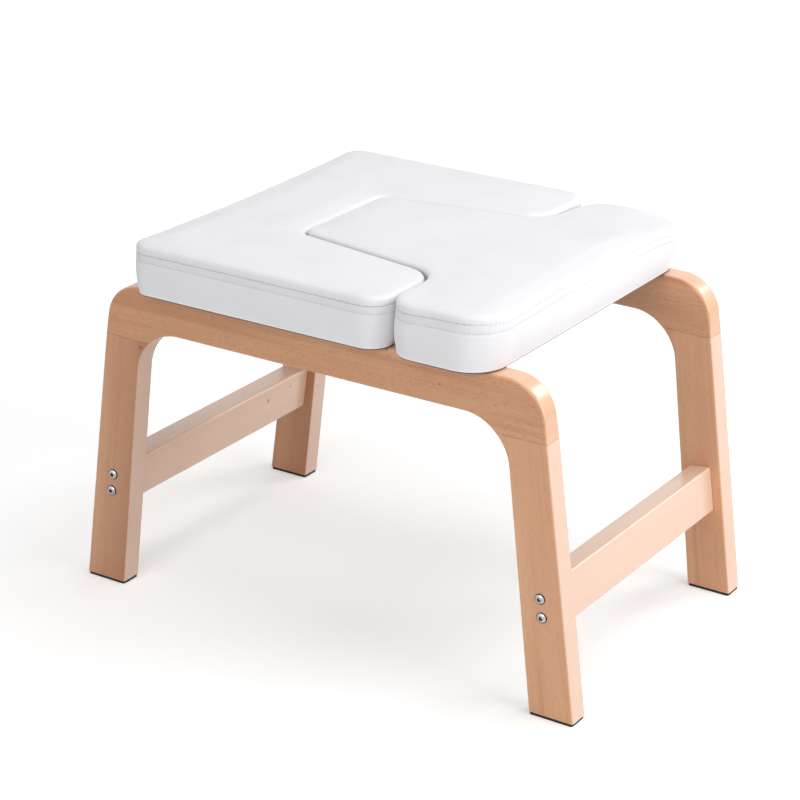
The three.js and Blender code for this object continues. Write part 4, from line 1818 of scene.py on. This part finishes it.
@dataclass
class Cushion:
    """One sewn cushion: a swollen skin round a board, its stitches, dust cloth and staples."""

    finishes: Finishes
    name: str
    body: Body
    corners: Sequence[Corner]
    crown: float
    holes: Sequence[Triple]
    creases: Sequence[Crease] = ()
    dents: Sequence[Crease] = ()
    bow: Triple = (0.0, 0.0, 0.0)
    shift: float = 0.0
    sizes: CushionSizes = CushionSizes()
    fill: float = 0.85
    squareness: float = 0.6
    free_squareness: float = 0.42
    seam_press: float = 0.85
    press_from: float = 0.18
    press_blend: float = 0.02
    slack: float = 0.3
    waves: tuple[Pair, ...] = ((14.0, 0.0006), (42.0, 0.00018))
    rim: float = 0.004
    stitch_pitch: float = 0.0048
    stitch_length: float = 0.0034
    thread: float = 0.0007
    seam_thread: float = 0.8
    seam_lift: float = 0.0001
    row_lift: float = 0.00005
    hole_sides: int = 16
    staple_pitch: float = 0.028
    staple_crown: float = 0.0095
    staple_wire: float = 0.0005
    staple_bow: float = 0.6
    staple_inset: float = 0.004
    staple_sink: float = 0.00018
    grid: float = 0.007

    def __post_init__(self) -> None:
        """Lay out the plan."""
        self.plan = Plan(self.corners)
        self.movement: Callable[[Vector], Vector] | None = None

    def bowed(self, place: Vector) -> float:
        """Lift of the top panel at a place in the plan."""
        bow = sum(share * place.y ** power for power, share in enumerate(self.bow))
        return bow - sum(dent.sink(place) for dent in self.dents)

    def wall_inset(self, height: float) -> float:
        """Give the inset of the side at a height, with the row of stitches sunk into it.

        Args:
            height: The height on an even cushion.

        Returns:
            The inset.
        """
        sizes = self.sizes
        share = (height - sizes.hem_bottom) / (sizes.seam - sizes.hem_bottom)
        row = (height - (sizes.seam - sizes.stitch_drop)) / sizes.stitch_width
        sunk = sizes.stitch_depth * math.exp(-row * row)
        return sizes.flare * (1 - share) - sizes.belly * math.sin(math.pi * share) + sunk

    def side_freedom(self, drop: float) -> float:
        """How freely the side swells at a drop below the seam."""
        return 0.5 * math.sin(math.pi * (1 - drop / (self.sizes.seam - self.sizes.hem_bottom)))

    def profile(self) -> list[Triple]:
        """Give the skin's section from the edge of the top panel down to the hem.

        Returns:
            Inset, height and freedom to swell of each ring.
        """
        sizes = self.sizes
        rise = self.crown - sizes.seam_rise - sizes.groove
        shares = [1, 0.84, 0.7, 0.58, 0.47, 0.38, 0.3, 0.235, 0.18, 0.135]
        shares += [0.098, 0.068, 0.045, 0.027, 0.014, 0.005]
        rows = []
        for share in shares:
            height = sizes.lip + rise * (1 - (1 - share) ** 9) ** 0.5
            rows.append((sizes.crown_reach * share, height, min(1.0, share * 1.6)))
        upper = [(1.0, 0.0), (0.6, 0.12), (0.32, 0.45)]
        for drop, depth in (*upper, (0.0, 1.0), *((-drop, depth) for drop, depth in reversed(upper))):
            rows.append((sizes.seam_depth * depth, sizes.seam + sizes.groove * drop, 0.0))
        drops = [0.0032, 0.0048, 0.0060, 0.0068, 0.0074, 0.008, 0.0086, 0.0092, 0.01, 0.0114]
        hem_low = sizes.hem_bottom - sizes.hem_drop
        rest = sizes.seam - hem_low - 0.0134
        drops += [drops[-1] + rest * step / 7 for step in range(1, 8)]
        for drop in drops:
            height = sizes.seam - drop
            rows.append((self.wall_inset(height), height, self.side_freedom(drop)))
        for inset, height in ((0.0002, 0.0009), (0.0008, 0.0003), (0.0017, 0.0)):
            rows.append((sizes.flare + inset, hem_low + height, 0.0))
        hem_top = sizes.hem_bottom + sizes.cover
        for inset, height in (
            ((sizes.flare + sizes.hem_width) / 2, sizes.hem_bottom),
            (sizes.hem_width - sizes.hem_edge, sizes.hem_bottom),
            (sizes.hem_width, sizes.hem_bottom + sizes.hem_edge),
            (sizes.hem_width, hem_top),
            (sizes.wall_depth, hem_top),
            (sizes.wall_depth, sizes.board_top),
        ):
            rows.append((inset, height, 0.0))
        return rows

    def ring(self, inset: float, height: float) -> list[Vector]:
        """Give one ring of the skin, drawn in at free edges and squarer where the cushions meet.

        Args:
            inset: The ring's inset in the plan.
            height: The ring's height on an even cushion.

        Returns:
            The points.
        """
        sizes = self.sizes
        share = clamped((height - sizes.board_top) / (sizes.seam - sizes.board_top))
        lean = sizes.lean * clamped((height - sizes.hem_bottom) / (sizes.seam - sizes.hem_bottom))
        rise, full = max(0.0, height - sizes.lip), self.crown - sizes.seam_rise - sizes.groove
        pressed = self.seam_press if abs(height - sizes.seam) < sizes.groove else 0.0
        points = []
        for p, mating in zip(self.plan.points(inset, sizes.draw * share), self.plan.mating()):
            squareness = self.free_squareness + (self.squareness - self.free_squareness) * mating
            lift = full * (rise / full) ** (1 - squareness) if rise > 0 else 0.0
            bowed = self.bowed(p) * share
            p.x += inset * pressed * clamped((p.x - self.press_from) / self.press_blend)
            points.append(Vector((p.x + lean, p.y + self.shift * share, height - rise + lift + bowed)))
        return points

    def settled(self, place: Vector, freedom: float) -> Vector:
        """Let one place of the skin swell, dip and wrinkle.

        Args:
            place: The place before.
            freedom: How freely it moves, from 0 to 1.

        Returns:
            The place after.
        """
        if freedom <= 0.0:
            return place
        wave = sum(noise.noise(place * scale) * height for scale, height in self.waves)
        moved = place + UP * (wave * freedom if place.z > self.sizes.seam + self.rim else 0.0)
        for crease in self.creases:
            if place.z > self.sizes.seam:
                moved.z -= crease.sink(place) * freedom
        if self.movement is not None:
            moved += self.movement(place) * freedom * self.slack
        return moved

    def inner_points(self, ring: Sequence[Vector]) -> list[Vector]:
        """Give evenly spaced points inside a ring.

        Args:
            ring: The ring.

        Returns:
            The points, clear of the ring itself.
        """
        tree = kdtree.KDTree(len(ring))
        for index, point in enumerate(ring):
            tree.insert((point.x, point.y, 0.0), index)
        tree.balance()
        xs, ys = [p.x for p in ring], [p.y for p in ring]
        points = []
        step, clear = self.grid * 0.866, self.grid * 0.6
        for row in range(int((max(ys) - min(ys)) / step) + 1):
            y = min(ys) + (row + 0.5) * step
            crossings = []
            for here, after in pairwise([*ring, ring[0]]):
                if (here.y > y) != (after.y > y):
                    crossings.append(here.x + (y - here.y) * (after.x - here.x) / (after.y - here.y))
            crossings.sort()
            for low, high in zip(crossings[::2], crossings[1::2]):
                x = min(xs) + (row % 2) * self.grid / 2
                while x < high:
                    if x > low and tree.find((x, y, 0.0))[2] > clear:
                        top = self.sizes.seat + self.crown + self.bowed(Vector((x, y, 0.0)))
                        points.append(Vector((x, y, top)))
                    x += self.grid
        return points

    def skin_mesh(self) -> Mesh:
        """Make the closed skin, with its UV map along and across the seam.

        Returns:
            The skin's mesh.
        """
        rows = self.profile()
        rings = [self.ring(inset, height) for inset, height, _ in rows]
        count = len(rings[0])
        places = [self.settled(p, free) for ring, (_, _, free) in zip(rings, rows) for p in ring]
        drops = list(accumulate((math.dist(a[:2], b[:2]) for a, b in pairwise(rows)), initial=0.0))
        at_seam = drops[[height for _, height, _ in rows].index(self.sizes.seam)]
        drops = [drop - at_seam for drop in drops]
        runs = self.plan.runs()
        faces, coords = [], []
        for level in range(len(rings) - 1):
            for i in range(count):
                after = (i + 1) % count
                upper, lower = level * count, (level + 1) * count
                faces.append((upper + i, lower + i, lower + after, upper + after))
                coords += [(runs[i], drops[level]), (runs[i], drops[level + 1])]
                coords += [(runs[i + 1], drops[level + 1]), (runs[i + 1], drops[level])]
        top = rings[0]
        inside = self.inner_points(top)
        first = len(places)
        places += [self.settled(point, 1.0) for point in inside]
        flat = [p.xy for p in top] + [p.xy for p in inside]
        for face in inside_faces(flat, [range(count)]):
            faces.append(tuple(i if i < count else first + i - count for i in face))
            coords += [(0.0, -1.0)] * 3
        base = (len(rings) - 1) * count
        for face in inside_faces([p.xy for p in rings[-1]], [range(count)]):
            faces.append(tuple(base + i for i in reversed(face)))
            coords += [(0.0, 1.0)] * 3
        mesh = bpy.data.meshes.new(f"{self.name}_cushion")
        mesh.from_pydata(places, [], faces)
        layer = mesh.uv_layers.new(name="skin")
        for item, coord in zip(layer.data, coords):
            item.uv = coord
        mesh.update()
        return mesh

    def skin(self) -> None:
        """Make, swell and dress the skin."""
        mesh = self.skin_mesh()
        held_from = self.sizes.board_top + self.rim
        self.movement = Inflation().swell(mesh, lambda p: 1.0 if p.z < held_from else 0.0)
        mesh = self.skin_mesh()
        piece = linked(f"{self.name}_cushion", mesh)
        mesh.shade_smooth()
        mesh.set_sharp_from_angle(angle=math.radians(58))
        nodes = [f"{self.name}_cover", f"{self.name}_foam"]
        dress(piece, self.finishes.leather, self.body, nodes)

    def row_of_stitches(self, label: str, inset: float, height: float, thread: float) -> None:
        """Sew one row of stitches round the cushion.

        Args:
            label: The row's word in the piece's name.
            inset: The row's inset in the plan.
            height: The row's height.
            thread: The thread's thickness.
        """
        freedom = self.side_freedom(self.sizes.seam - height)
        path = [self.settled(place, freedom) for place in self.ring(inset, height)]
        recipe = Recipe("row_of_stitches", {
            "Pitch": self.stitch_pitch,
            "Stitch Length": self.stitch_length,
            "Thread": thread,
        })
        bead = recipe.value("GeometryNodeMeshIcoSphere", sockets={"Radius": 0.5, "Subdivisions": 1})
        girth = recipe.size("Thread")
        shape = recipe.vector(X=recipe.size("Stitch Length"), Y=girth, Z=girth)
        recipe.close(recipe.along_path(bead, shape), self.finishes.thread)
        name = f"{self.name}_{label}_stitches"
        piece = recipe.run(name, points_mesh(name, path, loop=True))
        piece.data.shade_smooth()
        dress(piece, self.finishes.thread, self.body)

    def dust_cloth(self) -> None:
        """Make the thin cloth under the board, with a hole for each fastener."""
        sizes = self.sizes
        outline = self.plan.points(sizes.cloth_inset)
        flat = list(outline)
        loops = [range(len(flat))]
        for x, y, radius in self.holes:
            loops.append(range(len(flat), len(flat) + self.hole_sides))
            for step in range(self.hole_sides):
                angle = -math.tau * step / self.hole_sides
                flat.append(Vector((x + radius * math.cos(angle), y + radius * math.sin(angle))))
        faces = inside_faces(flat, loops)
        low, high = sizes.cloth_bottom, sizes.cloth_bottom + sizes.cloth
        count = len(flat)
        places = [(p.x, p.y, low) for p in flat] + [(p.x, p.y, high) for p in flat]
        solid = [tuple(reversed(face)) for face in faces]
        solid += [tuple(count + i for i in face) for face in faces]
        edges = dict.fromkeys(edge for face in faces for edge in pairwise((*face, face[0])))
        solid += [(a, b, count + b, count + a) for a, b in edges if (b, a) not in edges]
        mesh = bpy.data.meshes.new(f"{self.name}_cloth")
        mesh.from_pydata(places, [], solid)
        mesh.update()
        piece = linked(f"{self.name}_cloth", mesh)
        dress(piece, self.finishes.cloth, self.body, [f"{self.name}_dust_cloth"])

    def staples(self) -> None:
        """Staple the dust cloth to the board through the hem."""
        sizes = self.sizes
        recipe = Recipe("row_of_staples", {
            "Pitch": self.staple_pitch,
            "Crown": self.staple_crown,
            "Wire": self.staple_wire,
        })
        half, wire = recipe.size("Crown") / 2.0, recipe.size("Wire")
        sag = wire * -self.staple_bow
        crown = recipe.value("GeometryNodeCurvePrimitiveBezierSegment", {"mode": "POSITION"}, {
            "Resolution": 6,
            "Start": recipe.vector(X=half * -1.0),
            "Start Handle": recipe.vector(X=half * -1.0, Z=sag),
            "End Handle": recipe.vector(X=half, Z=sag),
            "End": recipe.vector(X=half),
        })
        section = {"Resolution": 6, "Radius": wire / 2.0}
        staple = recipe.value("GeometryNodeCurveToMesh", sockets={
            "Curve": crown,
            "Profile Curve": recipe.value("GeometryNodeCurvePrimitiveCircle", sockets=section),
            "Fill Caps": True,
        })
        recipe.close(recipe.along_path(staple, (1.0, 1.0, 1.0)), self.finishes.zinc)
        height = sizes.cloth_bottom + self.staple_sink
        row = self.plan.points(sizes.cloth_inset + self.staple_inset)
        name = f"{self.name}_staples"
        piece = recipe.run(name, points_mesh(name, [Vector((p.x, p.y, height)) for p in row], loop=True))
        piece.data.shade_smooth()
        dress(piece, self.finishes.zinc, self.body)

    def build(self) -> None:
        """Make the cushion and what is sewn and stapled to it."""
        sizes = self.sizes
        self.skin()
        inset, thread = sizes.seam_depth - self.seam_lift, self.thread * self.seam_thread
        self.row_of_stitches("seam", inset, sizes.seam, thread)
        row = sizes.seam - sizes.stitch_drop
        self.row_of_stitches("top", self.wall_inset(row) - self.row_lift, row, self.thread)
        self.dust_cloth()
        self.staples()
        dress_node(f"{self.name}_board", self.finishes.plywood)


def within(place: Vector, flat: Sequence[Vector], loops: Sequence[Sequence[int]]) -> bool:
    """Say whether a place lies inside an outline and outside its holes.

    Args:
        place: The place in plan.
        flat: The points of the loops.
        loops: The outline and its holes, by the places of their points.

    Returns:
        Whether it lies inside.
    """
    inside = False
    for loop in loops:
        before = flat[loop[-1]]
        for index in loop:
            here = flat[index]
            if (here.y > place.y) != (before.y > place.y):
                share = (place.y - here.y) / (before.y - here.y)
                if place.x < here.x + share * (before.x - here.x):
                    inside = not inside
            before = here
    return inside


def inside_faces(flat: Sequence[Vector], loops: Sequence[Sequence[int]]) -> list[tuple[int, ...]]:
    """Triangulate the inside of an outline with holes, counter-clockwise.

    Args:
        flat: The points of the loops first, then any points inside them.
        loops: The outline and its holes, by the places of their points.

    Returns:
        The triangles, by the places of their points.
    """
    border = sum(len(loop) for loop in loops)
    result = delaunay_2d_cdt(list(flat), [], [], 0, 1e-9, True)
    origin = [ids[0] for ids in result[3]]
    faces = []
    for face in result[2]:
        points = [origin[i] for i in face]
        a, b, c = (flat[i] for i in points)
        if max(points) < border and not within((a + b + c) / 3, flat, loops):
            continue
        if (b - a).cross(c - a) < 0:
            points.reverse()
        faces.append(tuple(points))
    return faces


@dataclass
class Underside:
    """What fastens the cushions: ledge, screws, bolts, tee nuts and locating pins."""

    finishes: Finishes
    sizes: FrameSizes = FrameSizes()
    cushion: CushionSizes = CushionSizes()
    ledge_thickness: float = 0.012
    ledge_x: Pair = (-0.134, -0.072)
    ledge_half: float = 0.052
    ledge_radius: float = 0.004
    ledge_ease: float = 0.0006
    screw_x: float = -0.123
    screw_spacing: float = 0.036
    screw_hole: float = 0.0023
    screw_head_hole: float = 0.0043
    screw_sink: float = 0.0026
    screw_depth: float = 0.009
    pad_bolt_length: float = 0.038
    bolt_hole: float = 0.0033
    pin_radius: float = 0.004
    pin_reach: float = 0.015
    pin_depth: float = 0.009
    pin_hole: float = 0.0043
    past: float = 0.004

    def screw_places(self) -> list[Vector]:
        """Where the three ledge screws stand in plan."""
        return [Vector((self.screw_x, step * self.screw_spacing)) for step in (-1, 0, 1)]

    def cloth_holes(self, xs: Sequence[float], radius: float) -> list[Triple]:
        """Holes of a dust cloth over both rails, as X, Y and radius."""
        return [(x, side.value * self.sizes.side_y, radius) for x in xs for side in Side]

    def ledge(self) -> None:
        """Make and dress the ledge under the closed end of the slot."""
        (low, high), top = self.ledge_x, self.sizes.rail_top
        bottom = top - self.ledge_thickness
        middle = Vector(((low + high) / 2, 0.0))
        half = ((high - low) / 2, self.ledge_half)
        plate = eased_plate(middle, half, self.ledge_radius, (bottom, top), self.ledge_ease)
        heights = (top + self.past, bottom + self.screw_sink, bottom - self.past)
        radii = (self.screw_hole, self.screw_head_hole)
        places = [Matrix.Translation(place.to_3d()) for place in self.screw_places()]
        piece = shaped("ledge_plate", plate, [stepped_hole(radii, heights, place) for place in places])
        dress(piece, self.finishes.plywood, Body.FRAME, ["support_ledge"])

    def screws(self) -> None:
        """Make and dress the ledge screws."""
        seat = self.sizes.rail_top - self.ledge_thickness + self.screw_sink - self.sizes.fit
        places = [Vector((p.x, p.y, seat)) for p in self.screw_places()]
        screws = LedgeScrews(self.finishes.zinc, self.cushion.board_bottom - seat + self.screw_depth)
        piece = screws.build("ledge_screw_set", places, [-UP] * len(places))
        nodes = [f"{word}_ledge_screw" for word in ("right", "middle", "left")]
        dress(piece, self.finishes.zinc, Body.FRAME, nodes)

    def pad_bolts(self) -> None:
        """Make and dress the four bolts up through the rails, and dress their tee nuts."""
        seat = self.sizes.rail_bottom + self.sizes.recess_depth - self.sizes.fit
        places, nodes = [], []
        for side in Side:
            for end, x in zip(End, self.sizes.pad_bolts_x):
                places.append(Vector((x, side.value * self.sizes.side_y, seat)))
                nodes.append(f"{side.label}_{end.label}_pad_bolt")
                dress_node(f"{side.label}_{end.label}_tee_nut", self.finishes.zinc)
        bolts = ButtonHeadBolts(self.finishes.zinc, self.pad_bolt_length)
        piece = bolts.build("pad_bolt_set", places, [-UP] * len(places))
        dress(piece, self.finishes.zinc, Body.FRAME, nodes)

    def pins(self) -> None:
        """Make and dress the four pins that locate the head cushion."""
        top = self.cushion.board_bottom + self.pin_depth
        tip = self.sizes.rail_top - self.pin_reach
        radius = self.pin_radius
        profile = [(radius - 0.0004, top), (radius, top - 0.0004), (radius, tip + 0.0018)]
        profile += [(radius - 0.0006, tip + 0.0006), (radius - 0.0016, tip)]
        for side in Side:
            for end, x in zip(End, self.sizes.pins_x):
                place = Matrix.Translation((x, side.value * self.sizes.side_y, 0))
                name = f"{side.label}_{end.label}"
                piece = shaped(f"{name}_pin_peg", turned(profile, place=place), angle=50.0)
                lay_grain(piece, UP, Vector((1, 0, 0)), 4.2 + side.value + 0.3 * end.value)
                dress(piece, self.finishes.plain, Body.HEAD_PAD, [f"{name}_locating_pin"])

    def build(self) -> None:
        """Make every fastening piece under the cushions."""
        self.ledge()
        self.screws()
        self.pad_bolts()
        self.pins()


# Studio


@dataclass
class Studio:
    """Pale floor, white surround, soft lamps and the camera of the photograph."""

    azimuth: float = 32.9971
    elevation: float = 22.3553
    roll: float = 0.4398
    lens: float = 112.974
    sensor: float = 36.0
    eye: Triple = (1.3154, -2.0529, 1.2138)
    floor_size: float = 30.0
    floor_colour: Colour = srgb(240, 240, 240)
    floor_shade: Colour = srgb(238, 238, 238)
    glow_reach: Pair = (0.4, 2.4)
    glow: Pair = (0.33, 0.62)
    sky: float = 0.32
    aim: Triple = (0.0, 0.0, 0.25)

    def camera(self) -> None:
        """Stand the camera where the photograph was taken."""
        turn, tilt, roll = (math.radians(a) for a in (self.azimuth, self.elevation, self.roll))
        back = Vector((math.sin(turn) * math.cos(tilt), -math.cos(turn) * math.cos(tilt), math.sin(tilt)))
        level = back.to_track_quat("Z", "Y").to_matrix().to_4x4()
        lens = bpy.data.cameras.new("photo_camera")
        lens.sensor_width = self.sensor
        lens.lens = self.lens
        camera = bpy.data.objects.new("photo_camera", lens)
        camera.matrix_world = Matrix.Translation(self.eye) @ level @ Matrix.Rotation(roll, 4, "Z")
        bpy.context.scene.collection.objects.link(camera)
        bpy.context.scene.camera = camera

    def world(self) -> None:
        """Surround the stool with white, plain to the camera and softer as light."""
        world = bpy.data.worlds.new("white_surround")
        world.use_nodes = True
        bpy.context.scene.world = world
        graph = Graph(world.node_tree)
        path = graph.node("ShaderNodeLightPath")
        rays = ("Is Camera Ray", "Is Glossy Ray", "Is Transmission Ray")
        camera, glossy, transmission = (Socket(graph, path.outputs[ray]) for ray in rays)
        seen = (camera + glossy + transmission).math("MINIMUM", 1.0)
        strength = seen * (1.0 - self.sky) + self.sky
        light = graph.value("ShaderNodeBackground", sockets={"Color": (1, 1, 1, 1), "Strength": strength})
        graph.node("ShaderNodeOutputWorld", sockets={"Surface": light})

    def floor(self) -> None:
        """Lay the pale floor, which keeps the stool's shadow."""
        half = self.floor_size / 2
        corners = [(x * half, y * half, 0) for x, y in ((-1, -1), (1, -1), (1, 1), (-1, 1))]
        mesh = bpy.data.meshes.new("floor")
        mesh.from_pydata(corners, [], [(0, 1, 2, 3)])
        piece = linked("floor", mesh)
        shader = Shader("pale_floor")
        path = shader.node("ShaderNodeLightPath")
        cloud = shader.noise(shader.place(), 3)
        matt = shader.value("ShaderNodeBsdfDiffuse", sockets={
            "Color": shader.mix(cloud.ramp(0.3, 0.7), self.floor_colour, self.floor_shade),
        })
        away = shader.distance(shader.place(), (0.0, 0.0, 0.0))
        glow = away.ramp(*self.glow_reach, *self.glow)
        glow = shader.value("ShaderNodeEmission", sockets={"Strength": glow})
        lit = shader.value("ShaderNodeAddShader", sockets={0: matt, 1: glow})
        seen = Socket(shader, path.outputs["Is Camera Ray"])
        surface = shader.value("ShaderNodeMixShader", sockets={"Fac": seen, 1: matt, 2: lit})
        shader.node("ShaderNodeOutputMaterial", sockets={"Surface": surface})
        mesh.materials.append(shader.material)

    def lamps(self) -> None:
        """Stand soft lamps at the head end, at the right side, behind and above."""
        for name, power, width, height, place in (
            ("head_end_lamp", 32.0, 1.8, 1.8, (2.6, 0.1, 1.2)),
            ("right_lamp", 16.5, 1.8, 1.1, (0.15, -2.4, 1.4)),
            ("back_lamp", 20.0, 1.1, 0.8, (1.39, 2.16, 1.84)),
            ("top_lamp", 32.0, 2.0, 2.0, (0.7, 0.1, 3.0)),
        ):
            panel = bpy.data.lights.new(name, "AREA")
            panel.energy = power
            panel.shape = "RECTANGLE"
            panel.size, panel.size_y = width, height
            lamp = bpy.data.objects.new(name, panel)
            turn = (Vector(place) - Vector(self.aim)).to_track_quat("Z", "Y")
            lamp.matrix_world = Matrix.Translation(place) @ turn.to_matrix().to_4x4()
            bpy.context.scene.collection.objects.link(lamp)

    def build(self) -> None:
        """Set up the whole studio."""
        bpy.context.scene.view_settings.view_transform = "Standard"
        self.camera()
        self.world()
        self.floor()
        self.lamps()


def main() -> None:
    """Build the stool in order and report each piece."""
    logging.basicConfig(level=logging.INFO, format="%(message)s")
    Studio().build()
    finishes = Finishes()
    SideFrames(finishes).build()
    Stretchers(finishes).build()
    under = Underside(finishes)
    screw_holes = [(place.x, place.y, under.screw_hole) for place in under.screw_places()]
    Cushion(
        finishes,
        "shoulder",
        Body.FRAME,
        under.cushion.shoulder_corners(),
        crown=0.056,
        holes=under.cloth_holes(under.sizes.pad_bolts_x, under.bolt_hole) + screw_holes,
        creases=(
            Crease((-0.085, 0.118), (-0.045, 0.112), 0.0035, 0.0008),
            Crease((-0.07, 0.126), (-0.02, 0.117), 0.003, 0.0006),
        ),
        shift=-0.0003,
        squareness=0.4,
    ).build()
    Cushion(
        finishes,
        "head",
        Body.HEAD_PAD,
        under.cushion.head_corners(),
        crown=0.055,
        holes=under.cloth_holes(under.sizes.pins_x, under.pin_hole),
        dents=(
            Crease((0.06, 0.2), (0.105, 0.2), 0.028, 0.0045),
            Crease((0.165, 0.215), (0.225, 0.165), 0.025, 0.005),
            Crease((0.12, -0.21), (0.225, -0.18), 0.045, -0.003),
        ),
        bow=(0.0014, -0.0125, -0.07),
        shift=0.0012,
    ).build()
    under.build()


if __name__ == "__main__":
    main()
